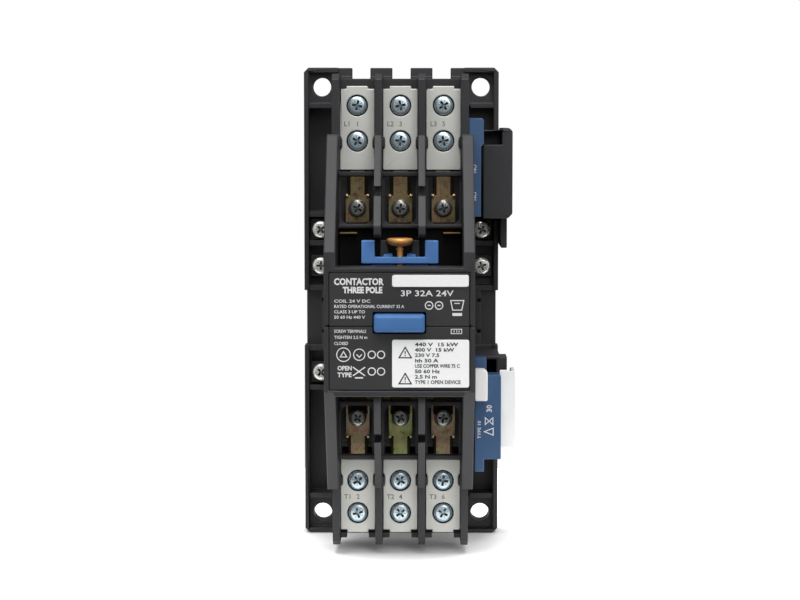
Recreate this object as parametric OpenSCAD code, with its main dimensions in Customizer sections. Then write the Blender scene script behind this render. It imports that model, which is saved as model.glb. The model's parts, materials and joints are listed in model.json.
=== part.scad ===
// DIN rail contactor, three poles, with an auxiliary block and a side module.
// Row frame: +X right, +Z up, front towards -Y. The origin is the centre of the four
// fixing holes on the back face. Every sub-part is drawn in the panel frame, which is
// (across, height, depth forward of the back face), and stood up by panel().

/* [Mounting plate] */
// Width of the mounting plate
base_w = 73.2; // [72:0.2:76]
// Height of the mounting plate
base_h = 176.4; // [175.6:0.2:178]
// Distance between the fixing holes across the plate
hole_pitch_x = 60; // [59.6:0.1:60.4]
// Distance between the fixing holes along the plate
hole_pitch_z = 162; // [161:0.5:163]
// Diameter of the fixing holes
fixing_hole_d = 7; // [5:0.2:7.4]
// Thickness of the pads round the fixing holes
pad_t = 9; // [8:0.5:10]
// Depth of the raised rim round the plate
rim_d = 12.5; // [12:0.1:13]
// Thickness of the rim and of the cross ribs
rim_t = 1.8; // [1.4:0.1:2.2]

/* [Rail seat] */
// Height of the rail that the seat takes
rail_h = 35; // [35:1:35]
// Depth of the rail groove in the back
rail_groove_d = 2.8; // [2.4:0.1:3]
// Travel of the rail latch
latch_travel = 4; // [3:0.5:4]

/* [Poles] */
// Distance between two poles
pole_pitch = 15.5; // [15.4:0.1:15.6]
// Thickness of the walls between the poles
barrier_t = 2.6; // [2.4:0.1:2.8]
// Inside half-width of the contact housing
housing_in = 21.8; // [21.7:0.1:21.9]
// Outside half-width of the contact housing
housing_out = 24.4; // [24.3:0.1:24.6]
// Height that the terminal walls reach above the origin
wall_reach = 85; // [84:0.5:86]
// Diameter of the terminal screw heads
terminal_head_d = 7; // [6.6:0.1:7.2]

/* [Front cover] */
// Depth of the cover's front edge
front_d = 92.5; // [92:0.1:93]
// Thickness of the cover's two side arms
arm_t = 4; // [3.6:0.1:4]
// Height that the arms reach above and below the origin
arm_reach = 63.5; // [63:0.5:64]

/* [Moving parts] */
// Travel of the contact carrier from open to closed
stroke = 5.5; // [5:0.1:5.5]
// Gap between the open contacts
contact_gap = 3.6; // [3.4:0.1:3.7]

/* [Hidden] */
$fn = 48;

body_black = [0.14, 0.14, 0.145];
cover_grey = [0.25, 0.25, 0.26];
panel_grey = [0.27, 0.27, 0.28];
deep_black = [0.06, 0.06, 0.065];
signal_blue = [0.30, 0.50, 0.76];
label_blue = [0.24, 0.36, 0.54];
plate_silver = [0.82, 0.81, 0.77];
zinc = [0.72, 0.77, 0.80];
steel = [0.62, 0.63, 0.64];
bright_steel = [0.85, 0.85, 0.83];
strap_bronze = [0.62, 0.52, 0.36];
copper = [0.80, 0.46, 0.28];
brass = [0.78, 0.62, 0.34];
white_plastic = [0.93, 0.93, 0.91];
winding_red = [0.62, 0.28, 0.16];
coil_white = [0.86, 0.85, 0.80];
rubber_grey = [0.2, 0.2, 0.2];

// poles
poles = [-pole_pitch, 0, pole_pitch];
wall_x = pole_pitch / 2;

// mounting plate
base_floor = 3;
base_bevel = 1.7;
tub_floor = 6;
tub_x = 26;
tub_z = 52;
rib_edges = [-74.9, -33.5, -18.5, 4.5, 21.4, 32.2, 73.1];
flat_low = -16.6;
flat_high = 4.6;
flat_inset = 0.8;
flat_d = 9.4;
strip_x = 29.9;
slot_z = [-11.4, 0.6];
screw_floor = 7.5;
body_screw_x = 30.4;
body_screw_z = [-26.9, 13.6, 27.3];
screw_pockets = [[-33, -18], [5, 22], [22.5, 33]];
notch_x = 15.2;
notch_w = 6.9;
notch_floor = 78;
tab_step_z = 85;
tab_step_d = 6.5;

// rail seat and latch, which works in a pocket in the back of the plate
groove_half = rail_h / 2 + 0.5;
lip_reach = 1.4;
lip_t = 1.2;
latch_half = 8;
latch_flange = 2;
latch_low = -44;
latch_d = [0.2, 3.4];
latch_fit = 0.3;
flange_d = 1.8;
latch_window = [-40.4, -26];
latch_window_half = 2.9;
latch_peg = [-40, -38];
latch_spring_r = 1.05;
latch_spring_wire = 0.28;
latch_spring_len = latch_window[1] - latch_peg[1];

// magnet housing, core and coil
magnet_x = 25;
magnet_z = 47.8;
magnet_wall = 2;
magnet_front = 43.8;
ear_t = 2.4;
ear_h = 8;
ear_reach = 34.2;
cushion_t = 1.6;
core_half = 30;
core_stack = 9;
core_back_t = 6;
core_leg = 8;
pole_face_d = 26.9;
armature_gap = stroke + 0.1;
armature_leg = 4;
armature_yoke = 6.5;
armature_d = pole_face_d + armature_gap;
armature_top = armature_d + armature_leg + armature_yoke;
armature_pin_d = armature_top - armature_yoke / 2;
armature_pin_r = 1.5;
bobbin_in = [core_stack + 0.4, core_leg + 0.4];
bobbin_wall = 1.2;
bobbin_half = [21, 21.6];
bobbin_d = [14.2, 29.6];
flange_t = 1.4;

// contact system
floor_d = [44, 46.4];
strip_t = 1.6;
tip_t = 1.6;
tip_z = [14, 19.5];
strip_half = 3.5;
bridge_half = 3.8;
bridge_reach = 19.5;
bridge_tip_t = 1.3;
strip_top = floor_d[1] + strip_t;
bridge_d = strip_top + tip_t + contact_gap + 0.1 + bridge_tip_t;
carrier_x = 20.9;
carrier_z = 8.5;
carrier_back = 47.2;
carrier_front = 70;
carrier_window = [bridge_d - 0.1, 66];
carrier_window_half = 4.1;
carrier_slot = [21.5, 9.4];
cheek_in = core_stack + 0.4;
cheek_t = 2;
post_half = [7.5, 2.9];
indicator_z = -0.95;
indicator_size = [17.5, 6.2];
indicator_d = [87.9, 93.9, 95.4];
indicator_bevel = 1;
indicator_corner = 0.8;

// terminals: heights of the plates, screws and wells at the line and load ends
terminal_floor = [33, 36.5];
plate_d = [strip_top, strip_top + 2.6];
plate_half = 6.3;
plate_tongue = 3.85;
line_plate_z = [50.6, 79.7];
load_plate_z = [-80.2, -54.4];
tongue_t = 1;
line_screw_z = [61.0, 73.7];
load_screw_z = [-62.15, -74.0];
plate_recess = 1.7;
terminal_shank = 2;
clamp_half = [5.6, 4.4];
clamp_t = 1.6;
clamp_d = terminal_floor[1] + 0.7;
line_well_z = 36.8;
load_well_z = -39.25;
strap_t = 1.2;
strap_half = 4.3;
strap_neck = 2.55;
well_head_d = 6.4;
wall_top = 58;
boss_r = 3;
boss_back = 40;

// front cover
cover_d = wall_top + 0.05;
arm_in = 22;
arm_end_d = 63.5;
arm_high = 25;
arm_low = -26.5;
web_t = 2;
fin_t = 2.5;
fin_gap = 0.2;
line_fin_near = 28;
load_fin_near = 26.2;
fin_top = 86;
panel_half = 24.3;
panel_d = [90.6, 92.2];
window_low = 18;
slot_half = [9.2, 3.7];
seam_z = [-2.5, -1.7];

// ---- helpers ----

// Stands a panel-frame drawing up in the row frame
module panel() rotate([90, 0, 0]) children();

// Block between two corners given as ranges
module slab(x, z, d)
    translate([x[0], z[0], d[0]]) cube([x[1] - x[0], z[1] - z[0], d[1] - d[0]]);

// Block that is symmetrical across the object
module mid_slab(half, z, d) slab([-half, half], z, d);

// The same thing on the right and on the left
module both_sides() {
    children();
    mirror([1, 0, 0]) children();
}

// Round post along the depth
module post(x, z, r, d) translate([x, z, d[0]]) cylinder(r = r, h = d[1] - d[0]);

// A side view, drawn as (height, depth), pushed across the object
module across(x) translate([x[0], 0, 0]) rotate([90, 0, 90])
    linear_extrude(x[1] - x[0]) children();

// A top view, drawn as (across, depth), pushed along the height
module upright(z) translate([0, z[1], 0]) rotate([90, 0, 0])
    linear_extrude(z[1] - z[0]) children();

// Rectangle with its corners cut off
module bevel_rect(w, h, c) polygon([[-w / 2 + c, -h / 2], [w / 2 - c, -h / 2],
    [w / 2, -h / 2 + c], [w / 2, h / 2 - c], [w / 2 - c, h / 2],
    [-w / 2 + c, h / 2], [-w / 2, h / 2 - c], [-w / 2, -h / 2 + c]]);

// Rectangle with round corners
module round_rect(w, h, r) {
    square([w - 2 * r, h], center = true);
    square([w, h - 2 * r], center = true);
    for (x = [-1, 1], z = [-1, 1])
        translate([x * (w / 2 - r), z * (h / 2 - r)]) circle(r);
}

// Pan head screw with a cross recess, its head resting at depth seat
module pan_screw(x, z, seat, head_r, head_h, shank_r, tip) {
    edge = head_h * 0.3;
    difference() {
        translate([x, z, seat]) union() {
            cylinder(r = head_r, h = head_h - edge);
            translate([0, 0, head_h - edge])
                cylinder(r1 = head_r, r2 = head_r - edge, h = edge);
        }
        translate([x, z, seat + head_h * 0.42]) {
            mid_slab(head_r * 0.6, [-0.5, 0.5], [0, head_h]);
            mid_slab(0.5, [-head_r * 0.6, head_r * 0.6], [0, head_h]);
            cylinder(r = head_r * 0.3, h = head_h);
        }
    }
    post(x, z, shank_r, [tip, seat + 0.01]);
}

// Points of one turn of wire section at step i of a coil spring
function wire_ring(i, steps, turns, r, wire, length, sides) = [
    for (k = [0 : sides - 1])
        let (a = 360 * turns * i / steps, b = 360 * k / sides)
        [(r + wire * cos(b)) * cos(a), (r + wire * cos(b)) * sin(a),
            wire + (length - 2 * wire) * i / steps + wire * sin(b)]];

// Coil spring that stands on the origin, as one closed sweep
module coil_spring(r, wire, length, turns) {
    sides = 6;
    steps = turns * 10;
    points = [for (i = [0 : steps]) each wire_ring(i, steps, turns, r, wire, length, sides)];
    walls = [for (i = [0 : steps - 1], k = [0 : sides - 1])
        let (n = (k + 1) % sides, here = i * sides, next = here + sides)
        each [[here + k, next + k, next + n], [here + k, next + n, here + n]]];
    ends = [[for (k = [0 : sides - 1]) k],
        [for (k = [0 : sides - 1]) steps * sides + sides - 1 - k]];
    polyhedron(points, concat(walls, ends));
}

// ---- mounting plate and rail latch ----

module base_solid() {
    linear_extrude(base_floor) bevel_rect(base_w, base_h, base_bevel);
    linear_extrude(rim_d) difference() {
        bevel_rect(base_w, base_h, base_bevel);
        square([base_w - 2 * rim_t, base_h - 2 * rim_t], center = true);
    }
    mid_slab(tub_x, [-tub_z, tub_z], [0, tub_floor]);
    both_sides() {
        slab([tub_x - 1.6, base_w / 2 - 1], [-base_h / 2 + 1, -74], [0, pad_t]);
        for (z = rib_edges) slab([tub_x, base_w / 2 - 1], [z, z + rim_t], [0, rim_d - 0.4]);
        slab([tub_x, base_w / 2 - 1], [flat_low - 1, flat_high], [0, flat_d]);
        slab([tub_x, strip_x], [flat_low - 1, flat_high], [0, rim_d - 0.8]);
        for (p = screw_pockets) slab([tub_x, base_w / 2 - 1], p, [0, screw_floor]);
    }
    mid_slab(base_w / 2 - 1, [74, base_h / 2 - 1], [0, pad_t]);
    mid_slab(tub_x, [-tub_z - 2, -tub_z], [0, rim_d - 2]);
}

module rail_seat() {
    mid_slab(base_w, [-groove_half, groove_half - lip_reach], [-1, rail_groove_d]);
    mid_slab(base_w, [0, groove_half], [lip_t, rail_groove_d]);
}

module latch_pocket() {
    low = latch_low - latch_travel - 0.6;
    difference() {
        union() {
            mid_slab(latch_half + latch_fit, [low, -groove_half + 0.1], [-1, latch_d[1] + 0.4]);
            mid_slab(latch_half + latch_flange + latch_fit, [low, -groove_half + 0.1],
                [flange_d - latch_fit, latch_d[1] + 0.4]);
        }
        mid_slab(latch_window_half - 0.4, latch_peg, [0.4, latch_d[1] + 1]);
    }
}

module base_plate() color(body_black) panel() difference() {
    base_solid();
    for (x = [-1, 1], z = [-1, 1])
        post(x * hole_pitch_x / 2, z * hole_pitch_z / 2, fixing_hole_d / 2, [-1, rim_d + 1]);
    for (x = [-1, 0, 1])
        slab([x * notch_x - notch_w / 2, x * notch_x + notch_w / 2],
            [notch_floor, base_h / 2 + 1], [-1, rim_d + 1]);
    mid_slab(tub_x - 2.4, [tab_step_z, base_h / 2 + 1], [tab_step_d, rim_d + 1]);
    both_sides() {
        slab([base_w / 2 - flat_inset, base_w], [flat_low, flat_high - 0.2], [-1, rim_d + 1]);
        slab([strip_x, base_w / 2 + 1], [flat_low, flat_high - 0.2], [flat_d, rim_d + 1]);
        slab([tub_x + 1, strip_x + 1], slot_z, [rim_d - 2, rim_d + 1]);
        for (z = slot_z) slab([strip_x - 1.3, strip_x + 0.1], [z - 0.6, z + 0.6],
            [flat_d - 2, rim_d + 1]);
        for (z = body_screw_z) post(body_screw_x, z, 1.8, [3, rim_d]);
    }
    rail_seat();
    latch_pocket();
}

module rail_latch() color(steel) panel() difference() {
    union() {
        mid_slab(latch_half, [latch_low, -groove_half - 0.3], latch_d);
        mid_slab(latch_half + latch_flange, [latch_low, -groove_half - 0.3],
            [flange_d, latch_d[1]]);
        across([-latch_half, latch_half])
            polygon([[-groove_half - 0.3, 0.2], [-groove_half, 0.2],
                [-groove_half + lip_reach, 0.9], [-groove_half + lip_reach, 1.1],
                [-groove_half - 0.3, 1.1]]);
    }
    mid_slab(latch_window_half, latch_window, [0, latch_d[1] + 1]);
}

module rail_latch_spring() color(bright_steel) panel()
    translate([0, latch_peg[1], 1.9]) rotate([-90, 0, 0])
        coil_spring(latch_spring_r, latch_spring_wire, latch_spring_len, 6);

// ---- magnet system ----

module magnet_housing() color(body_black) panel() difference() {
    union() {
        mid_slab(magnet_x, [-magnet_z, magnet_z], [tub_floor, magnet_front]);
        both_sides() {
            for (z = [-40, -14, 14, 40])
                slab([magnet_x - 0.5, magnet_x + 0.8], [z - 0.8, z + 0.8],
                    [16, magnet_front - 1]);
            for (z = body_screw_z)
                slab([magnet_x - 0.5, ear_reach], [z - ear_h / 2, z + ear_h / 2],
                    [screw_floor + 0.1, screw_floor + 0.1 + ear_t]);
        }
    }
    mid_slab(magnet_x - magnet_wall, [-magnet_z + magnet_wall, magnet_z - magnet_wall],
        [0, magnet_front - magnet_wall]);
    mid_slab(21.2, [-32.2, 32.2], [0, magnet_front + 1]);
    both_sides() for (z = body_screw_z) post(body_screw_x, z, 1.9, [0, rim_d]);
    for (x = poles, z = [line_well_z, load_well_z])
        post(x, z, boss_r + 0.3, [magnet_front - magnet_wall - 1, magnet_front + 1]);
}

module core_cushion() color(rubber_grey) panel() for (z = [-1, 1])
    mid_slab(core_stack, z > 0 ? [12, core_half] : [-core_half, -12],
        [tub_floor, tub_floor + cushion_t]);

module core_half_e(yoke, legs, mid_legs) {
    mid_slab(core_stack, [-core_half, core_half], yoke);
    for (z = [-1, 1])
        mid_slab(core_stack, z > 0 ? [core_half - core_leg, core_half]
            : [-core_half, core_leg - core_half], legs);
    mid_slab(core_stack, [-core_leg, core_leg], mid_legs);
}

module fixed_core() color(steel) panel() {
    back = tub_floor + cushion_t;
    front = back + core_back_t;
    difference() {
        core_half_e([back, front], [front - 0.01, pole_face_d],
            [front - 0.01, pole_face_d - 0.1]);
        for (z = [-1, 1]) translate([0, z * (core_half - 5.4), 0])
            mid_slab(core_stack + 1, [-0.6, 0.6], [pole_face_d - 2, pole_face_d + 1]);
    }
}

module shading_rings() color(copper) panel() for (z = [-1, 1]) scale([1, z, 1]) difference() {
    mid_slab(core_stack + 1.2, [core_half - 6, core_half + 1.2],
        [pole_face_d - 2, pole_face_d - 0.3]);
    mid_slab(core_stack, [core_half - 4.8, core_half], [0, pole_face_d]);
}

module coil_bobbin() color(coil_white) panel() difference() {
    union() {
        mid_slab(bobbin_in[0] + bobbin_wall,
            [-bobbin_in[1] - bobbin_wall, bobbin_in[1] + bobbin_wall], bobbin_d);
        for (d = [bobbin_d[0], bobbin_d[1] - flange_t])
            mid_slab(bobbin_half[0], [-bobbin_half[1], bobbin_half[1]], [d, d + flange_t]);
    }
    mid_slab(bobbin_in[0], [-bobbin_in[1], bobbin_in[1]], [0, bobbin_d[1] + 1]);
}

module coil_winding() color(winding_red) panel()
    translate([0, 0, bobbin_d[0] + flange_t]) linear_extrude(bobbin_d[1] - bobbin_d[0] - 2 * flange_t)
        difference() {
            round_rect(40, 41, 5);
            square([2 * (bobbin_in[0] + bobbin_wall), 2 * (bobbin_in[1] + bobbin_wall)],
                center = true);
        }

module coil_terminals() color(brass) panel() both_sides() {
    slab([13, 17], [14, 44], [bobbin_d[1], bobbin_d[1] + 0.8]);
    slab([13, 17], [43.2, 44], [bobbin_d[1], bobbin_d[1] + 9]);
}

module armature() color(steel) panel() difference() {
    yoke_d = armature_d + armature_leg;
    core_half_e([yoke_d, armature_top], [armature_d, yoke_d + 0.01],
        [armature_d + 0.1, yoke_d + 0.01]);
    across([-core_stack - 1, core_stack + 1])
        translate([0, armature_pin_d]) circle(armature_pin_r + 0.05);
}

module armature_pin() color(bright_steel) panel()
    across([-cheek_in - cheek_t, cheek_in + cheek_t])
        translate([0, armature_pin_d]) circle(armature_pin_r);

// ---- contact carrier and what it carries ----

module contact_carrier() color(body_black) panel() difference() {
    union() {
        mid_slab(carrier_x, [-carrier_z, carrier_z], [carrier_back, carrier_front]);
        both_sides() slab([cheek_in, cheek_in + cheek_t], [-6, 6],
            [armature_d + armature_leg, carrier_back + 0.5]);
        mid_slab(post_half[0], [indicator_z - post_half[1], indicator_z + post_half[1]],
            [carrier_front - 0.5, indicator_d[0]]);
    }
    for (x = poles) slab([x - carrier_window_half, x + carrier_window_half],
        [-carrier_z - 1, carrier_z + 1], carrier_window);
    across([-cheek_in - cheek_t - 1, cheek_in + cheek_t + 1])
        translate([0, armature_pin_d]) circle(armature_pin_r + 0.05);
}

yoke_half = 13.5;
yoke_leg = 4.7;
yoke_z = [18.3, 26.4];
yoke_bar = 2.3;
yoke_d = [carrier_front + 0.1, 74];
pin_axis_d = 71.9;
pin_stem_r = 1.3;

module carrier_yoke() color(signal_blue) panel() difference() {
    union() {
        both_sides() slab([yoke_half - yoke_leg, yoke_half], yoke_z, yoke_d);
        mid_slab(yoke_half, [yoke_z[0], yoke_z[0] + yoke_bar], yoke_d);
        mid_slab(10, [4, yoke_z[0] + 0.5], [carrier_front, carrier_front + 2]);
        both_sides() across([2.6, 5.6])
            polygon([[20.6, yoke_d[0]], [21.8, yoke_d[0]], [21.8, 71], [20.6, 73.4]]);
    }
    translate([0, yoke_z[0] - 2, pin_axis_d]) rotate([-90, 0, 0])
        cylinder(r = pin_stem_r + 0.05, h = yoke_bar + 3);
}

module guide_pin() color(copper) panel() translate([0, 0, pin_axis_d]) rotate([-90, 0, 0]) {
    translate([0, 0, 16.6]) cylinder(r = pin_stem_r, h = 8);
    translate([0, 0, 23.3]) cylinder(r1 = pin_stem_r, r2 = 4.3, h = 2);
    translate([0, 0, 25.3]) cylinder(r = 4.7, h = 1);
    translate([0, 0, 26.3]) cylinder(r1 = 4.7, r2 = 3.6, h = 0.8);
}

module position_indicator() color(signal_blue) panel() translate([0, indicator_z, 0]) {
    half = indicator_size[0] / 2;
    translate([0, 0, indicator_d[0]]) linear_extrude(indicator_d[1] - indicator_d[0] + 0.1)
        round_rect(indicator_size[0], indicator_size[1], indicator_corner);
    tall = indicator_size[1] / 2 - indicator_corner;
    upright([-tall, tall])
        polygon([[-half, indicator_d[1]], [half, indicator_d[1]],
            [half - indicator_bevel, indicator_d[2]], [indicator_bevel - half, indicator_d[2]]]);
}

module contact_bridge(x) color(copper) panel() difference() {
    union() {
        slab([x - bridge_half, x + bridge_half], [-bridge_reach, bridge_reach],
            [bridge_d, bridge_d + 1.6]);
        for (z = [-1, 1])
            slab([x - 3, x + 3], z > 0 ? tip_z : [-tip_z[1], -tip_z[0]],
                [bridge_d - bridge_tip_t, bridge_d + 0.01]);
    }
    for (z = [-1, 1]) scale([1, z, 1]) across([x - 5, x + 5])
        polygon([[bridge_reach + 0.1, bridge_d + 0.9], [bridge_reach + 0.1, bridge_d + 2],
            [bridge_reach - 1.4, bridge_d + 2]]);
}

module contact_springs() color(bright_steel) panel() for (x = poles)
    translate([x, 0, bridge_d + 1.6])
        coil_spring(2.9, 0.35, carrier_window[1] - bridge_d - 1.6, 5);

module return_springs() color(bright_steel) panel() for (x = [-15.6, 15.6])
    translate([x, 0, bobbin_d[1]]) coil_spring(3.4, 0.45, carrier_back - bobbin_d[1], 6);

// ---- fixed contacts, terminals and straps ----

// Strip from under the terminal plate to the contact tip, drawn for the line end
module fixed_contact(x, well_z) color(copper) panel() difference() {
    union() {
        slab([x - strip_half, x + strip_half], [tip_z[0] - 0.8, 56], [floor_d[1], strip_top]);
        slab([x - 3, x + 3], tip_z, [strip_top - 0.01, strip_top + tip_t]);
    }
    post(x, well_z, 1.9, [0, wall_top]);
}

module line_contact(x) fixed_contact(x, line_well_z);

module load_contact(x) mirror([0, 0, 1]) fixed_contact(x, -load_well_z);

// Terminal plate with its screw recesses, side notches and outer tongue
module terminal_plate(x, z, screws, notch) color(plate_silver) panel() difference() {
    out = z[1] > 0 ? [z[1] - 0.1, z[1] + tongue_t] : [z[0] - tongue_t, z[0] + 0.1];
    union() {
        translate([x, (z[0] + z[1]) / 2, plate_d[0]]) linear_extrude(plate_d[1] - plate_d[0])
            round_rect(2 * plate_half, z[1] - z[0], 0.5);
        slab([x - plate_tongue, x + plate_tongue], out, plate_d);
    }
    for (s = screws) {
        post(x, s, terminal_shank + 0.2, [0, wall_top]);
        post(x, s, terminal_head_d / 2 + 0.35, [plate_d[1] - plate_recess, wall_top]);
    }
    for (side = [-1, 1]) translate([x + side * plate_half, notch, 0])
        mid_slab(0.5, [-2.1, 2.1], [0, wall_top]);
}

module line_plate(x) terminal_plate(x, line_plate_z, line_screw_z, 60.3);

module load_plate(x) terminal_plate(x, load_plate_z, load_screw_z, -61.9);

module line_strap(x) color(strap_bronze) panel() difference() {
    union() {
        slab([x - strap_half, x + strap_half], [31.6, 41.4], [strip_top, strip_top + strap_t]);
        slab([x - strap_neck, x + strap_neck], [41.3, 50.5], [strip_top, strip_top + strap_t]);
        for (side = [-1, 1]) translate([x + side * (strap_half - 0.45), 0, 0])
            mid_slab(0.45, [40.6, 42.6], [strip_top, strip_top + 2.2]);
    }
    post(x, line_well_z, 1.9, [0, wall_top]);
}

module load_strap(x) color(strap_bronze) panel() difference() {
    union() {
        slab([x - strap_half, x + strap_half], [-46, -38], [strip_top, strip_top + strap_t]);
        slab([x - strap_neck, x + strap_neck], [-54.3, -45.9], [strip_top, strip_top + strap_t]);
        for (side = [-1, 1]) {
            translate([x + side * (strap_half - 0.35), 0, 0])
                mid_slab(0.35, [-38.1, -34.8], [strip_top, strip_top + strap_t]);
            translate([x + side * (strap_half - 0.45), 0, 0])
                mid_slab(0.45, [-47.2, -45.4], [strip_top, strip_top + 2.2]);
        }
    }
    post(x, load_well_z, 1.9, [0, wall_top]);
}

module terminal_screws() color(zinc) panel() for (x = poles, z = concat(line_screw_z, load_screw_z))
    pan_screw(x, z, plate_d[1] - plate_recess, terminal_head_d / 2, 2.3, terminal_shank,
        terminal_floor[1] + 0.1);

module strap_screws() color(zinc) panel() for (x = poles, z = [line_well_z, load_well_z])
    pan_screw(x, z, strip_top + strap_t, well_head_d / 2, 2.2, 1.75, boss_back + 0.5);

module body_screws() color(bright_steel) panel() for (x = [-body_screw_x, body_screw_x],
        z = body_screw_z)
    pan_screw(x, z, screw_floor + 0.1 + ear_t, 3.25, 2.2, 1.7, 3.5);

module wire_clamps() color(zinc) panel() for (x = poles, z = concat(line_screw_z, load_screw_z))
    difference() {
        translate([x, z, 0]) mid_slab(clamp_half[0], [-clamp_half[1], clamp_half[1]],
            [clamp_d, clamp_d + clamp_t]);
        post(x, z, terminal_shank + 0.05, [0, wall_top]);
    }

// ---- contact housing ----

// Side view of one pole wall at the line end: terminal block and middle
module wall_profile(reach) polygon([[0, floor_d[0]], [48.5, floor_d[0]], [48.5, terminal_floor[0]],
    [reach, terminal_floor[0]], [reach, wall_top - 3], [reach - 2, wall_top], [0, wall_top]]);

module wire_block() {
    mid_slab(housing_out, [48.5, 83.6], terminal_floor);
    mid_slab(housing_out, [48.5, 50.4], [terminal_floor[0], floor_d[1] - 0.1]);
    both_sides() {
        across([housing_in, housing_out]) wall_profile(wall_reach);
        across([wall_x - barrier_t / 2, wall_x + barrier_t / 2]) intersection() {
            wall_profile(wall_reach);
            translate([10.4, 0]) square(100);
        }
    }
}

// Small lugs that hold a terminal plate down, one on each side of its channel
module plate_lugs(z) for (x = [-housing_in, -wall_x - barrier_t / 2, -wall_x + barrier_t / 2,
        wall_x - barrier_t / 2, wall_x + barrier_t / 2, housing_in])
    translate([x, z, 0]) mid_slab(0.9, [-1.6, 1.6], [plate_d[1] + 0.2, plate_d[1] + 2.4]);

module contact_housing() color(body_black) panel() difference() {
    union() {
        mid_slab(housing_out, [-49, 49], floor_d);
        wire_block();
        mirror([0, 1, 0]) wire_block();
        plate_lugs(60.3);
        plate_lugs(-61.9);
        for (x = poles, side = [-1, 1]) translate([x + side * 5.25, 0, 0])
            mid_slab(1.25, [-83.4, -81.4], [floor_d[1] - 0.4, strip_top + 1.5]);
        for (x = poles, z = [line_well_z, load_well_z])
            post(x, z, boss_r, [boss_back, floor_d[1]]);
    }
    mid_slab(carrier_slot[0], [-carrier_slot[1], carrier_slot[1]], [0, floor_d[1] + 1]);
    for (x = poles, z = [line_well_z, load_well_z])
        post(x, z, 1.8, [boss_back - 1, wall_top]);
}

// Covers over the contact chambers, on each side of the carrier, slotted where the
// walls of the front cover reach in
module arc_covers() color(deep_black) panel() difference() {
    for (z = [[9.4, 30], [-26, -9.4]]) {
        mid_slab(21.6, z, [59.4, 61]);
        both_sides() slab([20.4, 21.6], z, [floor_d[1], 59.5]);
    }
    both_sides() slab([wall_x - fin_t / 2 - fin_gap, wall_x + fin_t / 2 + fin_gap],
        [line_fin_near - fin_gap, 31], [59, 62]);
}

module arc_plates() color(brass) panel() {
    both_sides() slab([15.3, 21.5], [28.2, 28.8], [61, 63.5]);
    for (x = [-wall_x, wall_x], side = [-1, 1])
        translate([x + side * (barrier_t / 2 + 1.5), 0, 0])
            mid_slab(1.5, [-31.6, -30.2], [56.6, 57.8]);
}

// ---- front cover ----

module arm_profile() polygon([[-arm_reach + 1, cover_d], [arm_reach - 1, cover_d],
    [arm_reach, cover_d + 1], [arm_reach, arm_end_d - 1], [arm_reach - 1, arm_end_d],
    [arm_high, front_d - 1.2], [arm_high - 1.6, front_d], [arm_low + 1.6, front_d],
    [arm_low, front_d - 1.2], [-arm_reach + 1, arm_end_d], [-arm_reach, arm_end_d - 1],
    [-arm_reach, cover_d + 1]]);

// Wall between two wells, with its notch, drawn as (distance from the middle, depth)
module fin_profile(near, notch) polygon([[near, cover_d], [arm_reach - 0.4, cover_d],
    [arm_reach - 0.4, arm_end_d - 1], [arm_reach - 1.4, arm_end_d - 0.4],
    [notch[1], 76.4], [notch[1], 62], [notch[0], 62], [notch[0], 79.2], [near + 4, fin_top],
    [near + 1, fin_top], [near, fin_top - 1]]);

// One well opening with round corners on the side away from the terminals
module well_opening(x, z) translate([x, (z[0] + z[1]) / 2, wall_top - 1]) linear_extrude(web_t + 2)
    union() {
        round_rect(11, z[1] - z[0], 2.6);
        translate([0, z[1] > 0 ? (z[1] - z[0]) / 4 : (z[0] - z[1]) / 4])
            square([11, (z[1] - z[0]) / 2], center = true);
    }

module front_cover() color(cover_grey) panel() difference() {
    union() {
        both_sides() across([arm_in, arm_in + arm_t]) arm_profile();
        both_sides() across([wall_x - fin_t / 2, wall_x + fin_t / 2])
            fin_profile(line_fin_near, [42.3, 45.4]);
        both_sides() mirror([0, 1, 0]) across([wall_x - fin_t / 2, wall_x + fin_t / 2])
            fin_profile(load_fin_near, [41.3, 44.5]);
        mid_slab(arm_in + 0.5, [30.2, 50.2], [cover_d, cover_d + web_t]);
        mid_slab(arm_in + 0.5, [30.2, 31.4], [cover_d, cover_d + web_t + 3]);
        mid_slab(arm_in + 0.5, [48.8, 50.2], [cover_d, cover_d + web_t + 1]);
        mid_slab(arm_in + 0.5, [-52.8, -32], [cover_d, cover_d + web_t]);
        mid_slab(arm_in + 0.5, [-52.8, -51.4], [cover_d, cover_d + web_t + 1]);
        mid_slab(arm_in + 0.5, [-26.5, window_low], [panel_d[0] - 2, panel_d[0]]);
        mid_slab(arm_in + 0.5, [window_low - 1.4, window_low], [80, front_d]);
        mid_slab(arm_in + 0.5, [-26.5, -24.4], [61.2, front_d]);
    }
    mid_slab(panel_half, [-24.3, window_low - 1.4], [panel_d[0], front_d + 1]);
    mid_slab(arm_in + arm_t + 1, seam_z, [front_d - 0.9, front_d + 1]);
    for (x = poles) {
        well_opening(x, [31.6, 48.6]);
        well_opening(x, [-51.2, -33.5]);
    }
    translate([0, indicator_z, 0]) mid_slab(slot_half[0], [-slot_half[1], slot_half[1]],
        [panel_d[0] - 3, front_d]);
}

module panel_plate(z) color(panel_grey) panel() difference() {
    mid_slab(panel_half - 0.15, z, panel_d);
    translate([0, indicator_z, 0])
        mid_slab(slot_half[0], [-slot_half[1], slot_half[1]], [0, front_d]);
}

module upper_panel() panel_plate([-1.9, 16.4]);

module lower_panel() panel_plate([-24.2, -2.3]);

module flat_label(x, z, t) color(white_plastic) panel()
    translate([(x[0] + x[1]) / 2, (z[0] + z[1]) / 2, panel_d[1]])
        linear_extrude(t) round_rect(x[1] - x[0], z[1] - z[0], 0.7);

module marker_strip() flat_label([-2.5, 23.8], [11.5, 15.6], 0.5);

module rating_label() flat_label([-2.5, 24], [-23.2, -6.7], 0.4);

// ---- auxiliary block on the upper right ----

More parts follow.
